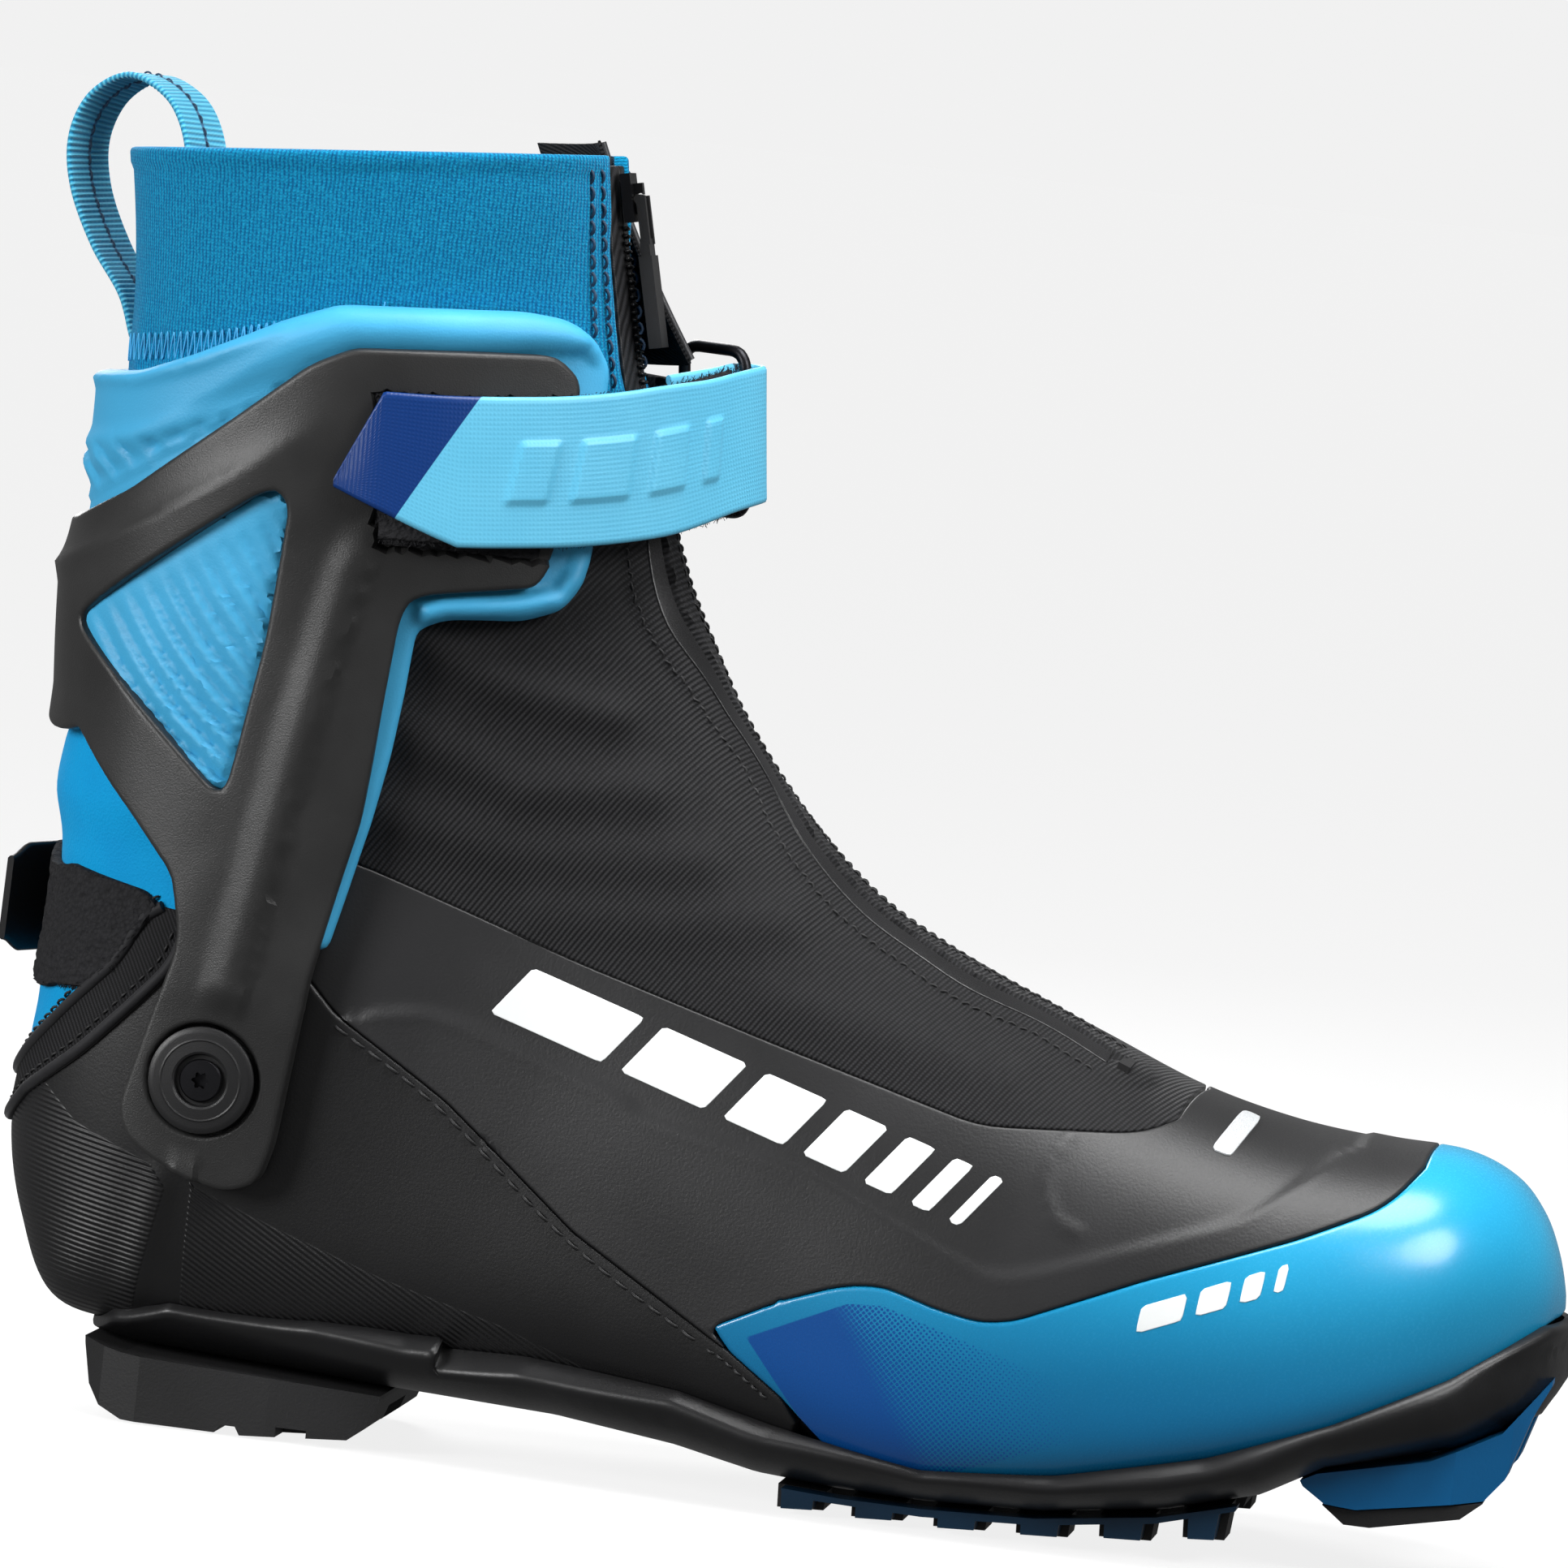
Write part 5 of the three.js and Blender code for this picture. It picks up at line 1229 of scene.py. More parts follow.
FOLDS = (                       # the line, height and width of each fold in the cloth
    ([(74, 158), (92, 150), (112, 147)], 1.5, 4.0), ([(72, 141), (96, 131), (120, 133)], 1.6, 5.0),
    ([(71, 124), (98, 119), (132, 121)], 1.2, 5.0), ([(104, 108), (128, 109), (150, 112)], 1.0, 5.0),
    ([(150, 97), (172, 93), (198, 88)], 0.8, 5.0),
)
slit_points = bare(*spline(ridge_params(ZIP_SLIT), 0.01).T)
gap = nearest(twill_patch.points, slit_points)
folds = sum(size * np.exp(-(near_line(twill_patch.side_view(), line)[0] / wide) ** 2) for line, size, wide in FOLDS)
twill_high = (folds * ramp(gap, 5, 13) + 0.55 * ramp(gap, 9.5, 8.0) + 0.3 * np.exp(-((gap - 5.0) / 1.6) ** 2)
              - 1.6 * ramp(gap, 1.5, 0.5))
slit_y = np.interp(twill_patch.points[:, 0], [p[0] for p in ZIP_SLIT], [p[2] for p in ZIP_SLIT])
twill_high = twill_high + 0.75 * ramp(gap, 3.2, 1.6) * (twill_patch.points[:, 1] > slit_y)
twill = twill_patch.shell("vamp_twill_cloth", MAT["twill"], twill_high, SKIN_IN, 0.5, 60)
bends(twill, "twill", "vamp_twill")

# ---------------------------------------------------------------- stretch cloth at the ankle
soft_half = half([(4, 58), (25, 77.5), (36, 94.5), (45, 98.5), (45, 199.5)], -0.3, 2, back_at(49), back_at(199.5))
soft_patch = Patch(both_sides(soft_half), cell=1.6)
soft_side = soft_patch.side_view()
puffed = ramp(soft_side[:, 1], 64, 84) * ramp(soft_side[:, 1], 140, 128) * ramp(soft_side[:, 0], 42, 26)
pucker = np.sin(soft_side[:, 1] / 4.6 + 1.4 * np.sin(soft_side[:, 0] / 9)) * 0.75 + np.sin(soft_side[:, 1] / 2.1) * 0.2
soft_high = -0.3 + (0.8 + 0.45 * pucker + 1.5 * ramp(soft_side[:, 1], 109, 120)) * puffed
soft_cloth = soft_patch.shell("ankle_cloth", MAT["softshell"], soft_high, -2.5, 0.4, 60)
bends(soft_cloth, "softshell", "ankle_softshell", "shaft_softshell")

# ---------------------------------------------------------------- knitted collar
FRONT_Y = (-9.5, 4.0)


def rim_z(x):
    """The height of the collar's rim."""
    return np.interp(x, [-10, 2, 60, 110, 120], [244.6, 245.6, 250.8, 255.5, 256.4])


def front_angle(s, y):
    """The angle at which the front of the leg is at y."""
    wide, cy, high = ridge_shape(s)
    return math.pi - np.arcsin(np.clip(np.abs(y - cy) / wide, 0, 0.98) ** (high / 2))


def collar_loop(z_low, inset=0.0):
    """The knitted collar's outline, from the middle of the back round the outer side and back."""
    lines = []
    for y in FRONT_Y:
        xs = np.linspace(6, 96, 60)
        low = from_side(np.stack([xs, np.full(60, z_low)], -1))
        top = from_side(np.stack([xs, rim_z(xs) - inset], -1))
        rise = np.linspace(front_section(z_low + 0.8),
                           front_section(rim_z(98) - inset), 60)
        edge = np.stack([rise, front_angle(rise, y)], -1)
        lines.append(np.vstack([back_at(z_low), low, edge, top[::-1], back_at(rim_z(2) - inset)]))
    medial = lines[1][::-1].copy()
    medial[:, 1] *= -1
    return np.vstack([lines[0], medial[1:-1]])


collar_patch = Patch(collar_loop(COLLAR_SPLIT + 0.3), cell=1.5, weave="round")
collar_side = collar_patch.points
gathers = 0.35 * np.sin(collar_patch.flat[:, 1] / 2.6) * ramp(collar_side[:, 2], 222, 206)
waist = -0.5 * np.sin(np.clip((collar_side[:, 2] - 206) / 40, 0, 1) * math.pi)
hem = 0.5 * ramp(collar_patch.edge, 3.4, 2.8) * ramp(collar_side[:, 2], 236, 243)
collar = collar_patch.shell("knit_collar_tube", MAT["knit"], 0.1 + gathers + waist + hem, SKIN_IN, 1.0, 60)
settle(collar, "cuff", "elastic", "elastic_collar")

# ---------------------------------------------------------------- cuff strap, its ring and the hook patch
STRAP_LINE = [
    (57, -46.2, 190.5), (66, -46.3, 190.8), (78, -43.8, 191.3), (90, -38.6, 192.3), (102, -31.2, 193.8),
    (113, -21.8, 196.2), (122, -11.5, 199.4), (128.2, -1.5, 202.2), (130.6, 5.2, 203.3), (130, 8.4, 203.4),
    (127.4, 9.5, 203.4), (124.8, 8.4, 203.3), (124.3, 5.2, 203.1), (122.4, -5, 202.2), (116.5, -13.2, 200.4),
]
LEAN = (-0.11, 0, 1)
STRAP_TURN = 0.66               # share of the strap's length where it comes round the ring


def strap_width(along, total):
    """The strap's two edges: its tip is a slanted point, and it is narrower where it comes round the ring."""
    full = STRAP_WIDE / 2 * (1 - 0.08 * ramp(along / total, 0.5, STRAP_TURN))
    high = np.minimum(full, -2.5 + along / 8.5 * 17)
    low = -np.minimum(full, 4.5 + along / 24 * 10)
    return np.minimum(low, high - 1.7), high


def strap_relief(along, place):
    """Four slanted bars pressed up into the strap; they are plain, and say nothing."""
    bars = 0.0
    for start, long in ((34, 9), (47, 13), (64, 9), (77, 5)):
        slanted = along - start - 0.28 * place
        mid = ramp(slanted, 0, 0.9) * ramp(slanted, long, long - 0.9) * ramp(np.abs(place), 6.2, 5.3)
        bars = bars + 0.55 * mid
    return bars


strap = ribbon("cuff_strap_band", STRAP_LINE, strap_width, 1.5, LEAN, MAT["strap"], strap_relief, 46, 0.6)
strap_start = placed([STRAP_LINE[0]])[0]
tip_side = strap.data.attributes.new("tip_side", "FLOAT", "POINT")
for k, vertex in enumerate(strap.data.vertices):
    x, y, z = (np.array(vertex.co) - strap_start) * 1000
    tip_side.data[k].value = 17.5 + 0.54 * z - x if y < 20 else -9.0
settle(strap, "strap", "strap", "cuff_strap")
inner = [np.array(p) for p in STRAP_LINE[:8]]
inner_out = [np.array(v) for v in ((0.03, -1, 0), (0.06, -1, 0), (0.34, -0.94, 0), (0.47, -0.88, 0), (0.6, -0.8, 0),
                                   (0.7, -0.7, 0), (0.76, -0.65, 0), (0.9, -0.4, 0))]
inner = [p - 1.25 * v for p, v in zip(inner, inner_out)]
rng = np.random.default_rng(7)
loops_high = rng.uniform(0, 0.35, (400, 60))


def loop_relief(along, place):
    rows = np.clip((along / 0.55).astype(int), 0, 399)
    columns = np.clip(((place + 20) / 0.7).astype(int), 0, 59)
    return loops_high[rows, columns]


backing = ribbon("strap_backing", inner[1:], 27.6, 0.9, LEAN, MAT["pile"], loop_relief, 40, 0.6)
settle(backing, "strap", "pile")
edge_line = spline(inner[1:], 0.35)
roots, ways = [], []
for side in (1, -1):
    for point in edge_line:
        for k in range(2):
            roots.append(point + np.array([-0.11 * side, 0, side]) * rng.uniform(13.2, 13.9) + rng.normal(0, 0.2, 3))
            ways.append(np.array([0.2, -0.2, 0.9 * side]))
points, faces = tube_parts(hairs(roots, ways, 1.5, 11), 0.07, 3)
settle(new_mesh("strap_fuzz", placed(points), faces, MAT["pile"]), "strap", "pile")

RING_IN, RING_OUT, RING_LOW, RING_HIGH, WIRE = (113.8, 15.5), (127.4, 6.2), 187.5, 219, 1.2


def ring_line():
    corners = []
    for xy, z in ((RING_IN, RING_LOW), (RING_OUT, RING_LOW), (RING_OUT, RING_HIGH), (RING_IN, RING_HIGH)):
        corners.append((xy[0] - 0.11 * (z - 203), xy[1], z))
    loop = closed_fillet(np.array(corners), 4)
    return stepped(np.vstack([loop, loop[:1]]), 0.7)


def closed_tube(name, line, radius, material, sides=14):
    line = np.asarray(line)[:-1]
    tangent = unit(np.roll(line, -1, 0) - np.roll(line, 1, 0))
    out = unit(np.cross(line[0] - line.mean(0), line[len(line) // 4] - line.mean(0)))
    aside = unit(np.cross(tangent, out))
    turn = round_turn(sides)
    ring = line[:, None] + radius * (aside[:, None] * np.cos(turn)[:, None] + out * np.sin(turn)[:, None])
    return new_mesh(name, placed(ring.reshape(-1, 3)), between(len(line), sides, closed=True), material)


settle(closed_tube("strap_ring_wire", ring_line(), WIRE, MAT["dark_metal"]), "ring", "dark_metal", "strap_ring")
RING_TAB = [(97, 35, 203), (104, 29.5, 203), (109.5, 21.5, 203), (112.4, 18.4, 203), (115, 18.1, 203),
            (116.4, 15.9, 203), (115.2, 13.3, 203), (112.2, 13.3, 203), (107.6, 17.4, 203)]
settle(ribbon("ring_tab_band", RING_TAB, 18, 1, LEAN, MAT["pile"], None, 16, 0.5), "cuff", "pile", "ring_tab")

hook_line = stepped(closed_fillet([(62.1, 204.9), (65.2, 175.9), (95.4, 175.9), (96.9, 205.9)], 1.2), 1.0)
hook_patch_mesh = Patch(from_side_at(hook_line, 6.4), cell=0.75, rim=0.6)
hooks = np.random.default_rng(3).uniform(-0.35, 0.35, len(hook_patch_mesh.s))
hook = hook_patch_mesh.shell("hook_patch_pile", MAT["pile"], 7.6 + hooks, 6.3, 0.4, 80)
settle(hook, "cuff", "pile", "hook_patch")

# ---------------------------------------------------------------- sole
SOLE_TOP = [(303.5, 51), (302, 50), (288, 40.5), (267, 30), (244, 21), (216, 14.3), (190, 12), (160, 16.5), (141, 20.5),
            (110, 22.5), (93, 21.5)]
SOLE_BOTTOM = [
    (0, 17), (16, 15.5), (30, 13.2), (62, 12), (80, 11.2), (116, 10.4), (141, 8), (158, 5), (174, 4.2), (190, 4.2),
    (212, 5.2), (235, 8.4), (252, 13), (264, 19.5), (285, 24.5), (298, 31), (306, 41.5), (310, 50),
]


def plan_line(points):
    """(section, angle) of points under the foot given in plan, x and y."""
    made = []
    for x, y in points:
        s = float(np.interp(-x, -SCANNED[:, 2], SCAN))
        wide, low = section_at(s)[[4, 7]]
        a = min(abs(y) / wide, 0.999) ** (low / 2)
        made.append((s, math.asin(a)))
    return np.array(made)


sole_half = np.vstack([
    [[0.08, 0.0], [0.08, 0.7], [0.12, 1.2]], half(SOLE_TOP, 1.6, 0),
    plan_line(stepped(np.array([(91, 29.5), (84, 28.6), (64, 28), (34, 25), (24, 20), (20, 9)]), 1.5)), [[15.55, 0.0]],
])
sole_patch = Patch(both_sides(sole_half), cell=1.7, rim=1.4)
under_mid = np.interp(-sole_patch.points[:, 0], -SCANNED[:, 2], SCANNED[:, 3])
deep = under_mid - np.interp(sole_patch.points[:, 0], *np.array(SOLE_BOTTOM).T)
down = -sole_patch.normals[:, 2]
toe_lip = 1.3 * ramp(sole_patch.points[:, 0], 288, 303)
sole_high = 2.3 + toe_lip + (np.maximum(deep, 2.6) - 2.3 - toe_lip) * ramp(down, 0.25, 0.8)
groove = -0.35 * np.exp(-((sole_patch.edge - 3.6) / 0.5) ** 2) * ramp(down, 0.6, 0.3)
chassis = sole_patch.shell("sole_rand", MAT["rubber"], sole_high + groove, 0.75, 1.1, 45)
settle(chassis, "root", "rubber", "sole_chassis")

KEPT = {
    "heel_block": ("tread", 1.0), "forefoot_tread": ("tread", 0.7), "toe_tread": ("tread", 0.6),
    "tread_insert_lateral": ("insert", 0.6), "tread_insert_medial": ("insert", 0.6),
    "toe_block": ("blue_rubber", 1.3), "shank_plate": ("carbon", 0.3), "toe_bar": ("steel", 0.25),
    "pivot_nut_lateral": ("steel", 0.2), "pivot_nut_medial": ("steel", 0.2), "lace_lock": ("disc", 0.5),
    "zip_slider": ("dark_metal", 0.45), "zip_pull": ("disc", 0.55), "zip_tack": ("thread", 0.4),
    "lasting_board": ("board", 0.2),
}
for node, (look, width) in KEPT.items():
    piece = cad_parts[node]
    piece.data.materials.clear()
    piece.data.materials.append(MAT[look])
    bevel = piece.modifiers.new("edges", "BEVEL")
    bevel.width = width / 1000
    bevel.segments = 3
    bevel.limit_method = "ANGLE"
    bevel.angle_limit = math.radians(32)
    bevel.harden_normals = False

# ---------------------------------------------------------------- piping and heel strap
PIPES = (("upper", [(30, 101), (26, 98.4), (22, 89.7), (13.5, 81), (3.6, 70)], 62.5),
         ("lower", [(35, 96), (33, 89.6), (25, 80.6), (15.8, 71), (4, 61.5)], 53.8))


def round_back(points, offset, z_back):
    """A line that runs forward to back on the outer side, round the heel and forward again on the inner side."""
    line = half(points, offset, 4, None, back_at(z_back))
    line = np.vstack([line, (line[::-1] * [1, -1])[1:]])
    dense = stepped(line, 0.02)
    solid = stepped(bare(*dense.T), 0.8)
    order = cumulative(bare(*dense.T))
    at = np.linspace(0, order[-1], len(solid))
    s, phi = (np.interp(at, order, column) for column in dense.T)
    return s, phi


pipe_under = Patch(both_sides(np.vstack([
    back_at(62), half([(3.6, 70), (13.5, 81), (22, 89.7), (26, 98.4), (30, 101)], 1, 3),
    half([(36.5, 101), (33, 89.6), (25, 80.6), (15.8, 71), (4, 61.5)], 1, 3), back_at(53.5),
])[::-1]), cell=1.3, rim=0.6)
settle(pipe_under.shell("piping_band", MAT["gusset"], 1.0, 0.65, 0.3, 60), "root", "twill")
pipe_parts = []
for name, points, z_back in PIPES:
    s, phi = round_back(points, 1.2, z_back)
    pipe_parts.append(on_last(s, phi, np.full(len(s), 1.0)))
    way = unit(np.gradient(on_last(s, phi, np.full(len(s), 1.0)), axis=0))
    out = outward(s, phi)
    lower = on_last(s, phi, np.full(len(s), 0.85)) + unit(np.cross(way, out)) * 2.3
    settle(stitches(f"piping_stitch_{name}", lower, out, 2.6, 1.9, 0.28, MAT["thread"]), "root", "twill")
points, faces = tube_parts(pipe_parts, 1.15, 12)
settle(new_mesh("piping_cord", placed(points), faces, MAT["twill"]), "root", "twill", "counter_piping")

band_top = half([(29.5, 101), (26, 103.5), (9, 106)], 1, 1, None, back_at(108.5))
band_low = half([(22, 89), (15, 83), (9, 82.5)], 1, 1, None, back_at(86.5))
medial_top = np.array([[back_section(108), -0.62]])
medial_low = np.array([[back_section(86.6), -0.62]])
band_outline = np.vstack([band_low, medial_low, medial_top, band_top[::-1]])
band_patch = Patch(band_outline, cell=0.8, rim=0.6)
loops = np.random.default_rng(5).uniform(-0.3, 0.3, len(band_patch.s))
band = band_patch.shell("heel_strap_pile", MAT["pile"], 2.1 + loops, 0.35, 0.5, 80)
settle(band, "root", "pile", "heel_strap_band")
s, phi = band_low[::2].T
fray = on_last(s, phi, np.full(len(s), 1.5))
fray = np.repeat(stepped(fray, 0.35), 2, 0)
points, faces = tube_parts(hairs(list(fray), [np.array([0.1, -0.4, -0.9])] * len(fray), 1.4, 21), 0.07, 3)
settle(new_mesh("heel_strap_fuzz", placed(points), faces, MAT["pile"]), "root", "pile")
ANCHOR = [(30, 38.6, 97), (25, 37.6, 97), (21, 35.6, 97), (16.9, 31.7, 97)]
TAB = [(15.6, 30.4, 97), (8.5, 23.8, 97), (1, 14.6, 96.8), (-4, 7, 96.4), (-8, 0, 96)]
anchor = ribbon("heel_strap_root", ANCHOR, 22, 1.4, (0.08, 0, 1), MAT["gusset"], None, 16, 0.6)
settle(anchor, "root", "pile", "heel_strap_anchor")


def tab_width(along, total):
    """The tab's two edges, drawn in at its tip."""
    reach = 11 - 2.5 * ramp(along / total, 0.86, 1.0)
    return -reach, reach


def tab_relief(along, place):
    """A low raised field inside a plain border."""
    return 0.25 * ramp(np.abs(place), 8.6, 8.0) * ramp(along, 2, 3)


tab = ribbon("heel_strap_end", TAB, tab_width, 1.4, (0.08, 0, 1), MAT["rubber"], tab_relief, 24, 0.5)
settle(tab, "heel_tab", "pile", "heel_strap_tab")

# ---------------------------------------------------------------- pull loop
LOOP = [(14, 20.5, 222), (12.6, 21.8, 238), (10.4, 24, 248.6), (5, 28, 256), (-4, 33, 259.2), (-12, 36.5, 254.6),
        (-15.5, 37.5, 246), (-14, 37, 236), (-8, 34, 225), (-0.5, 29.6, 216), (3.2, 27, 208)]
pull = ribbon("pull_loop_webbing", LOOP, 10.5, 1.2, (0.62, 0.78, 0), MAT["webbing"],
              lambda along, place: 0.16 * np.sin(along * 2 * math.pi / 1.15), 14, 0.28)
settle(pull, "cuff", "webbing", "pull_loop")
line = spline(LOOP, 0.5)
tangent = unit(np.gradient(line, axis=0))
wide = unit(np.array([0.62, 0.78, 0]) - tangent * (tangent @ unit([0.62, 0.78, 0]))[:, None])
for way, name in ((1, "outer"), (-1, "inner")):
    out = unit(np.cross(tangent, wide)) * way
    settle(stitches(f"pull_loop_stitch_{name}", line + out * 0.7, out, 3.0, 2.1, 0.2, MAT["navy_thread"]),
           "cuff", "webbing")

# ---------------------------------------------------------------- collar trim and zip
def front_line(y, inset, z_low, z_high, offset):
    """3-D points and normals down the collar beside its front opening."""
    rise = np.linspace(front_section(z_high), front_section(z_low), 120)
    phi = front_angle(rise, y - inset if y < 0 else y + inset)
    phi = phi if y < 0 else -phi
    return on_last(rise, phi, np.full(120, offset)), outward(rise, phi)


for y, name in zip(FRONT_Y, ("lateral", "medial")):
    for inset in (3.2, 6.4):
        line, out = front_line(y, inset, 212, 252, 0.3)
        row = stitches(f"collar_stitch_{name}_{int(inset)}", line, out, 3.3, 2.5, 0.36, MAT["navy_thread"], 0.45, 0.3)
        settle(row, "cuff", "elastic")
zigzag = []
for side, _ in SIDES:
    xs = np.arange(4, 62, 0.75)
    drop = np.interp(xs, [4, 30, 66], [206.4, 210.4, 220])
    points = np.stack([xs, drop + np.where(np.arange(len(xs)) % 2, 3.2, -3.2)], -1)
    zigzag.append(surface_line(stepped(filleted(points, 1), 0.4), side, 0.4)[0])
points, faces = tube_parts(zigzag, 0.16, 5)
settle(new_mesh("collar_overlock", placed(points), faces, MAT["pale_thread"], 80), "cuff", "elastic")


def tape_strip(y0, y1, name, node):
    """A zip tape inside the collar opening, between two places across the boot."""
    rise = np.linspace(front_section(252.5), front_section(207), 80)
    angles = []
    for y in (y0, y1):
        angle = front_angle(rise, y)
        cy = section_at(rise)[:, 5]
        angles.append(np.where(y < cy, angle, 2 * math.pi - angle))
    outline = np.vstack([np.stack([rise, angles[0]], -1), np.stack([rise, angles[1]], -1)[::-1]])
    patch = Patch(outline, cell=1.1, rim=0.6)
    piece = patch.shell(name, MAT["tape"], -0.3, -1.8, 0.3, 60)
    settle(piece, "cuff", "twill", node)


tape_strip(-9.2, -2.95, "collar_tape_lateral", "collar_zip_lateral")
tape_strip(-2.6, 3.7, "collar_tape_medial", "collar_zip_medial")


def coil(name, line, out, material, size=1.3, pitch=1.5, wire=0.34):
    """A zip's coil: closed loops of wire set one after another along a line."""
    length = cumulative(line)
    way = unit(np.gradient(line, axis=0))
    aside = unit(np.cross(way, out))
    rings = []
    for a in np.arange(0.4, length[-1] - 0.4, pitch):
        at, up, over, along = (np.array([np.interp(a, length, c) for c in rows.T]) for rows in (line, out, aside, way))
        turn = np.linspace(-0.5 * math.pi, 1.3 * math.pi, 9)
        rings.append(at + np.outer(np.cos(turn), over) * size + np.outer(np.sin(turn) * 0.45 + 0.1, up)
                     + np.outer(turn * 0.09, along))
    points, faces = tube_parts(rings, wire, 5)
    return new_mesh(name, placed(points), faces, material, 80)


collar_teeth, teeth_out = front_line(-2.77, 0, 208, 241, 0.15)
settle(coil("collar_zip_teeth", collar_teeth, teeth_out, MAT["coil"]), "cuff", "twill")


def gusset_surface(u, v):
    return np.stack([93 + 17.5 * u + 5 * u * u - 15 * v ** 2, 5 + 17 * v + 2 * u * v, 257 - 41 * u - 2 * v], -1)


def slab(name, surface, nu, nv, thick, material, edge=0.4):
    """A closed sheet on a surface of two shares, its edges thinned."""
    u, v = np.meshgrid(np.linspace(0, 1, nu + 1), np.linspace(0, 1, nv + 1), indexing="ij")
    d = 1e-3
    point = surface(u, v)
    out = unit(np.cross(surface(u + d, v) - surface(u - d, v), surface(u, v + d) - surface(u, v - d)))
    near = np.minimum(np.minimum(u, 1 - u) * nu, np.minimum(v, 1 - v) * nv)
    size = thick / 2 * (1 - 0.55 * np.exp(-near / max(edge, 1e-6)))
    grid = np.stack([point + out * (size - thick / 2)[..., None], point - out * (size + thick / 2)[..., None]], 0)
    count = (nu + 1) * (nv + 1)
    ids = np.arange(count).reshape(nu + 1, nv + 1)
    faces = []
    for i in range(nu):
        for j in range(nv):
            a, b, c, e = ids[i, j], ids[i + 1, j], ids[i + 1, j + 1], ids[i, j + 1]
            faces += [(a, b, c, e), (e + count, c + count, b + count, a + count)]
    rim = [*ids[0, :], *ids[1:, -1], *ids[-1, -2::-1], *ids[-2:0:-1, 0]]
    faces += [(a, b, b + count, a + count) for a, b in zip(rim, rim[1:] + rim[:1])]
    uv = np.stack([u.ravel() * 4.2, v.ravel() * 1.9], -1)
    return new_mesh(name, placed(grid.reshape(-1, 3)), faces, material, 60, np.vstack([uv, uv]))


gusset = slab("collar_gusset_cloth", gusset_surface, 40, 22, 1.1, MAT["gusset"])
settle(gusset, "cuff", "twill", "collar_gusset")
hem_line = gusset_surface(np.linspace(0.01, 0.99, 90), np.full(90, 0.05))
points, faces = tube_parts([hem_line], 0.75, 8)
settle(new_mesh("gusset_binding", placed(points), faces, MAT["tape"]), "cuff", "twill")

# ---------------------------------------------------------------- vamp zip and stitching
slit_at = spline(ridge_params(ZIP_SLIT), 0.02)
s, phi = slit_at.T
slit_line = stepped(on_last(s, phi, np.full(len(s), -1.3)), 0.7)
slit_out = spread(outward(s, phi), len(slit_line))
bends(coil("vamp_zip_coil", slit_line, slit_out, MAT["coil"], 0.8, 1.1, 0.25), "twill")


def flank(distance, offset):
    """The slit's line moved aside over the twill: 3-D points and normals."""
    way = np.gradient(bare(*slit_at.T), axis=0)
    out = outward(*slit_at.T)
    moved = bare(*slit_at.T) + unit(np.cross(out, way)) * distance
    tree = tree_of(twill_patch.points)
    made = []
    for p, n in zip(moved, out):
        near = [(twill_patch.points[i] + twill_patch.normals[i] * twill_high[i], 1 / (d + 0.05) ** 2)
                for _, i, d in tree.find_n(p, 4)]
        weight = sum(w for _, w in near)
        made.append(sum(q * w for q, w in near) / weight + n * offset)
    dense = stepped(made, 0.5)
    return dense, spread(out, len(dense))


for name, distance in (("lateral_outer", 8.6), ("lateral_inner", 5.9), ("medial_outer", -8.6)):
    line, out = flank(distance, 0.05)
    rise = 0.12 if distance < 0 else 0.32
    bends(stitches(f"vamp_zip_stitch_{name}", line, out, 2.5, 1.8, 0.25, MAT["thread"], rise, 0.3), "twill")

# zip tapes, seen in the slit
for name, node, shift in (("lateral", "zip_tape_lateral", 1), ("medial", "zip_tape_medial", -1)):
    inner_edge = np.stack([slit_at[:, 0], slit_at[:, 1] - shift * 0.004], -1)
    outer_edge = np.stack([slit_at[:, 0], slit_at[:, 1] - shift * 0.10], -1)
    outline = np.vstack([inner_edge[::4], outer_edge[::4][::-1]])
    patch = Patch(outline, cell=1.3, rim=0.5)
    top, low = (1.05, 0.3) if shift > 0 else (-1.9, -2.15)
    bends(patch.shell(f"vamp_tape_{name}", MAT["coil"] if shift > 0 else MAT["tape"], top, low, 0.3, 60), "twill", node)


def seam_stitches(name, points, side, pitch, long, thread, slot, rise):
    """A row of stitches 1.9 mm above a seam on the boot's side."""
    line, out = surface_line(spline(points, 0.5), side, 0.55)
    way = unit(np.gradient(line, axis=0))
    line = line + unit(np.cross(way, out)) * (1.9 * side)
    settle(stitches(name, line, out, pitch, long, thread, MAT["thread"], rise, 0.3), "root", slot)


for side, name in SIDES:
    seam_stitches(f"counter_seam_{name}", [(67, 83.9), (89.5, 70.3), (117.5, 48.7), (147, 31.9)], side, 4.1, 3.0,
                  0.36, "counter", 0.5)
    seam_stitches(f"toe_seam_{name}", [(147, 31.9), (151, 30), (161.7, 22.8)], side, 2.2, 1.5, 0.3, "toe_film", 0.4)

# ---------------------------------------------------------------- plain print on the film
def printed(name, outline, surface, material, slot, thick=0.12, nodes=()):
    """A thin print on the outer side's film, inside a closed outline of x and z."""
    patch = Patch(from_side(stepped(closed_fillet(outline, 0.6), 0.7)), cell=1.4, rim=0.4)
    rises = surface(patch.side_view())
    piece = patch.shell(name, material, rises + thick, rises - 0.15, 0.06, 60)
    settle(piece, "root", slot, *nodes)


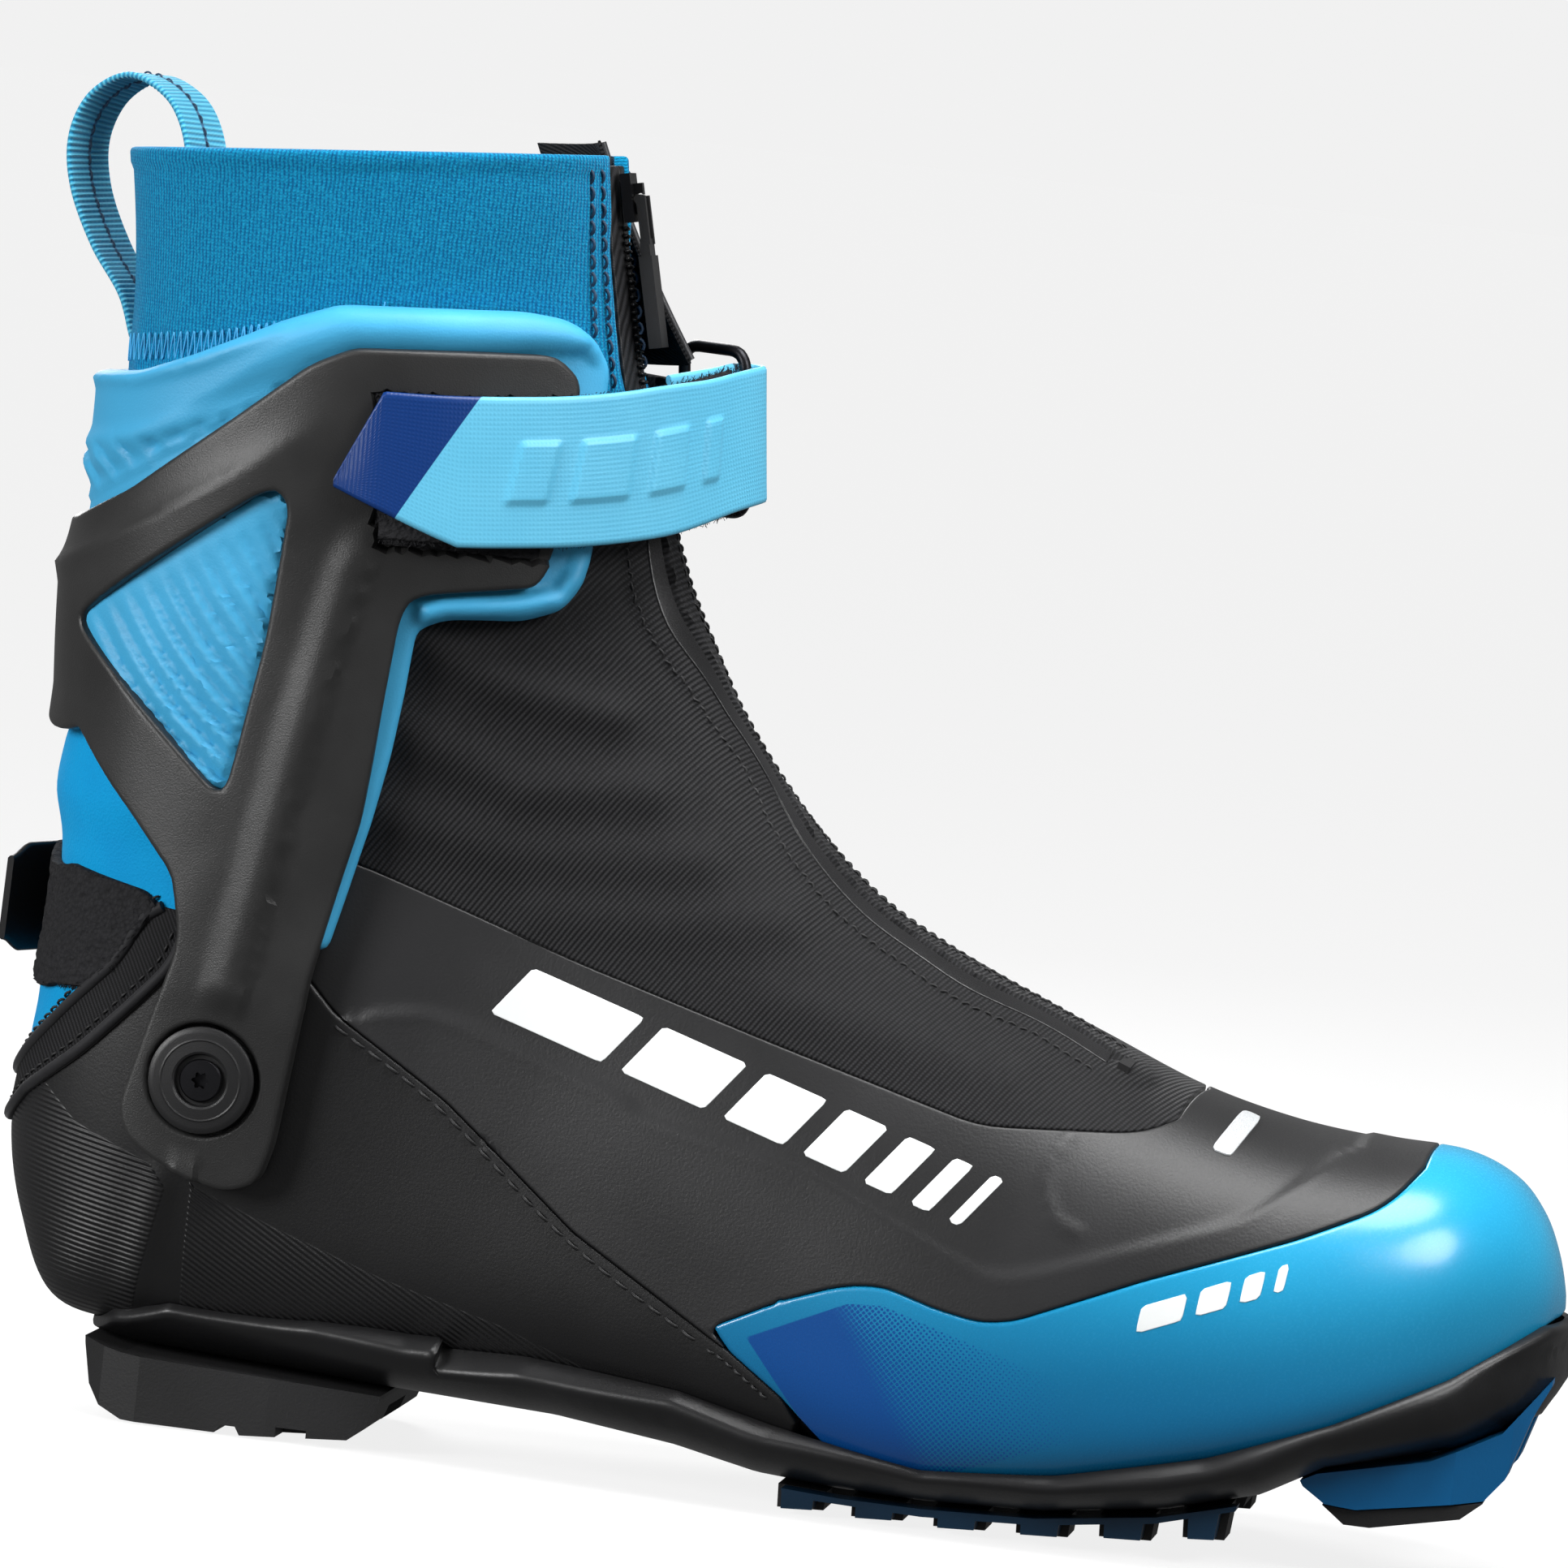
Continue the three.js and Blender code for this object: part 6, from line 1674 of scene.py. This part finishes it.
BAR_ROW = np.array([(99.6, 93.0), (199.2, 63.7)])
way = unit(BAR_ROW[1] - BAR_ROW[0])
across = np.array([-way[1], way[0]])
for k, (start, long) in enumerate(((0, 24), (28, 18), (50, 13), (67, 9), (80, 6), (90, 4), (98, 2.5))):
    corners = [BAR_ROW[0] + way * (start + long * a + 2.2 * b) + across * 5.6 * b
               for a, b in ((0, -1), (1, -1), (1, 1), (0, 1))]
    printed(f"side_bar_{k}", corners, overlay_rise, MAT["print"], "vamp_film")
for k, (start, long) in enumerate(((0, 9), (11.5, 6), (20, 4), (26.5, 2))):
    base = np.array([228.6, 46.6]) + np.array([0.93, 0.38]) * start
    corners = [base + np.array([0.93, 0.38]) * long * a + np.array([0.1, 1.0]) * 2.6 * b
               for a, b in ((0, -1), (1, -1), (1, 1), (0, 1))]
    printed(f"toe_bar_print_{k}", corners, lambda p: np.full(len(p), 0.5), MAT["print"], "toe_film")
printed("reflective_tab", [(240.3, 84.9), (244.2, 83.9), (240.7, 77.6), (236.8, 78.6)], overlay_rise,
        MAT["reflective"], "reflective", thick=0.35, nodes=("reflective_mark",))

# ---------------------------------------------------------------- inside the boot
STRIP = 12.3                    # half the gap that the liner leaves for the tongue


def sock(z_top, front_gap, s_low=2.6):
    """The liner's outline: the whole foot and leg, open down the front for the tongue."""
    rise = np.linspace(s_low, front_section(z_top), 150)
    wide, _, high = ridge_shape(rise)
    reach = np.where(rise < ridge_section(205), 1.5, front_gap)
    phi = math.pi - np.arcsin(np.clip(reach / wide, 0, 0.96) ** (high / 2))
    top = from_side(np.stack([np.linspace(92, 12, 60), np.full(60, z_top)], -1))
    toe = np.stack([np.full(20, s_low), np.linspace(0, phi[0], 20)], -1)
    return both_sides(np.vstack([toe, np.stack([rise, phi], -1)[1:], top, back_at(z_top)]))


liner_patch = Patch(sock(196, STRIP), cell=2.4, rim=1.6, weave="round")
liner = liner_patch.shell("liner_sock", MAT["felt"], -3.0 - 0.25 * np.sin(liner_patch.flat[:, 0] / 5), -5.5, 1.1, 60)
bends(liner, "felt", "liner")


def ridge_band(x0, x1, half_width, z_end=None):
    """A strip along the top of the foot and up the front of the leg, in (section, angle)."""
    s0, s1 = ridge_section(x0), (ridge_section(x1) if z_end is None else front_section(z_end))
    rise = np.linspace(float(s0), float(s1), 140)
    wide, _, high = ridge_shape(rise)
    reach = np.arcsin(np.clip(half_width / wide, 0, 0.9) ** (high / 2))
    return np.vstack([np.stack([rise, math.pi - reach], -1), np.stack([rise, math.pi + reach], -1)[::-1]])


tongue_patch = Patch(ridge_band(203, 113, 12, 203), cell=2.0, rim=1.4)
ribs = 0.35 * np.sin(tongue_patch.flat[:, 0] / 1.6)
tongue = tongue_patch.shell("tongue_pad", MAT["felt"], -9.0 - np.abs(ribs), -11.2, 1.0, 60)
bends(tongue, "felt", "tongue")
for side, name in SIDES:
    rise = np.linspace(float(ridge_section(198)), float(ridge_section(132)), 90)
    wide, _, high = ridge_shape(rise)
    lines = []
    for reach in (9.0, 11.7):
        turn = np.arcsin((reach / wide) ** (high / 2))
        lines.append(np.stack([rise, math.pi - side * turn], -1))
    facing = Patch(np.vstack([lines[0], lines[1][::-1]]), cell=1.2, rim=0.6)
    piece = facing.shell(f"lace_guide_{name}", MAT["disc"], -3.3, -5.1, 0.7, 60)
    bends(piece, "frame_plastic", f"lace_facing_{name}")


def over_tongue(x, y, offset):
    s = float(ridge_section(x))
    return on_last(np.array([s]), np.array([math.pi + math.asin(y / 36)]), np.array([offset]))[0]


LACE_ROWS = (190, 178, 166, 155, 145, 137)
lace_line = [over_tongue(134, -1.5, -5.8)]
lace_line += [over_tongue(x, 6 if i % 2 else -6, -6) for i, x in enumerate(LACE_ROWS[::-1])]
lace_line += [over_tongue(x + 1.5, -6 if i % 2 else 6, -4.7) for i, x in enumerate(LACE_ROWS)]
lace_line.append(over_tongue(134, 1.5, -5))
lace = tube("lace_cord", spline(lace_line, 0.8), 0.55, MAT["thread"], 10)
bends(lace, "cord", "quicklace")


def floor_outline(margin):
    """The boot's floor from the heel to the toe, drawn in by a margin."""
    lateral = [(s, math.asin(min(0.999, max(0.0, 1 - margin / w)) ** (l / 2)))
               for s, w, l in ((s, *section_at(s)[[4, 7]]) for s in np.linspace(2.2, 15.2, 80))]
    return both_sides(np.vstack([[[2.2, 0.0]], lateral, [[15.2, 0.0]]]))


bed = Patch(floor_outline(9), cell=2.6, rim=1.6).shell("insole_felt", MAT["insole"], -6.0, -9.0, 1.0, 60)
settle(bed, "root", "felt", "insole")

# ---------------------------------------------------------------- floor, light and camera
LIGHTS = (                      # name, place, size in metres, watts
    ("left", (-750, -800, 450), 0.55, 13), ("top", (330, -150, 1100), 0.7, 14),
    ("right", (850, -450, 700), 0.45, 6), ("rim", (-250, 800, 600), 0.6, 6),
)
LIT = (140, 0, 110)             # where the lights point
WORLD_LIGHT = 0.2
FLOOR_RADIUS = 30               # metres
FLOOR_SIDES = 96
FLOOR_Z = -0.0004               # metres, just under the lugs
DOME_RADIUS, DOME_SIDES, DOME_ROWS = 29.9, 64, 16
VIEW_TURN, VIEW_RISE, VIEW_ROLL = (math.radians(angle) for angle in (8, 4, 6.27))
LOOK_AT = (143.3, 0, 136.5)
VIEW_AWAY = 2.0                 # metres from the camera to LOOK_AT
LENS, SENSOR = 235.8, 36


def area_light(name, at, size, power):
    light = bpy.data.lights.new(name, "AREA")
    light.shape = "DISK"
    light.size = size
    light.energy = power
    lamp = bpy.data.objects.new(name, light)
    bpy.context.scene.collection.objects.link(lamp)
    lamp.location = placed(at)
    lamp.rotation_euler = (Vector(placed(at)) - Vector(placed(LIT))).to_track_quat("Z", "Y").to_euler()


def pale_floor():
    look = Look("pale_floor")
    speck = look.noise(3, 3)
    look.relief(speck, 0.05)
    shade = look.mixed(speck, (104, 104, 104), (112, 112, 112))
    material = look.done(shade, 0.75, emission_color=(1, 1, 1, 1), emission_strength=0.84)
    turn = round_turn(FLOOR_SIDES)
    points = np.stack([FLOOR_RADIUS * np.cos(turn), FLOOR_RADIUS * np.sin(turn), np.full(FLOOR_SIDES, FLOOR_Z)], -1)
    disc = new_mesh("studio_floor", points, [tuple(range(FLOOR_SIDES))], material)
    disc.visible_diffuse = disc.visible_glossy = False


def backdrop():
    """A pale dome that only the camera sees, in the tone of the far floor."""
    look = Look("pale_backdrop")
    tone = look.mixed(look.noise(9000, 1), (255, 255, 255), (252, 252, 252))
    material = look.done((0, 0, 0), 1.0, emission_color=tone, emission_strength=0.89, specular_ior_level=0.0)
    points = [(DOME_RADIUS * math.cos(rise) * math.cos(t), DOME_RADIUS * math.cos(rise) * math.sin(t),
               DOME_RADIUS * math.sin(rise) - 0.01)
              for rise in np.linspace(0, 1.5, DOME_ROWS) for t in round_turn(DOME_SIDES)]
    faces = between(DOME_ROWS, DOME_SIDES, flip=True)
    faces.append(tuple((DOME_ROWS - 1) * DOME_SIDES + j for j in range(DOME_SIDES)))
    dome = new_mesh("studio_backdrop", points, faces, material)
    dome.visible_diffuse = dome.visible_glossy = dome.visible_shadow = dome.visible_transmission = False


def place_camera():
    turn, rise, roll = VIEW_TURN, VIEW_RISE, VIEW_ROLL
    back = Vector((math.sin(turn) * math.cos(rise), -math.cos(turn) * math.cos(rise), math.sin(rise)))
    level = Vector((math.cos(turn), math.sin(turn), 0))
    upright = Vector((-math.sin(rise) * math.sin(turn), math.sin(rise) * math.cos(turn), math.cos(rise)))
    right = level * math.cos(roll) + upright * math.sin(roll)
    up = upright * math.cos(roll) - level * math.sin(roll)
    camera = bpy.data.cameras.new("camera")
    camera.lens = LENS
    camera.sensor_width = SENSOR
    camera.clip_end = 100
    eye = bpy.data.objects.new("camera", camera)
    bpy.context.scene.collection.objects.link(eye)
    at = Vector(placed(LOOK_AT)) + back * VIEW_AWAY
    eye.matrix_world = Matrix((
        (right.x, up.x, back.x, at.x), (right.y, up.y, back.y, at.y), (right.z, up.z, back.z, at.z), (0, 0, 0, 1),
    ))
    bpy.context.scene.camera = eye


scene = bpy.context.scene
scene.view_settings.view_transform = "Standard"
world = bpy.data.worlds.new("studio")
world.use_nodes = True
world.node_tree.nodes["Background"].inputs["Color"].default_value = (1, 1, 1, 1)
world.node_tree.nodes["Background"].inputs["Strength"].default_value = WORLD_LIGHT
scene.world = world
for light in LIGHTS:
    area_light(*light)
pale_floor()
backdrop()
place_camera()
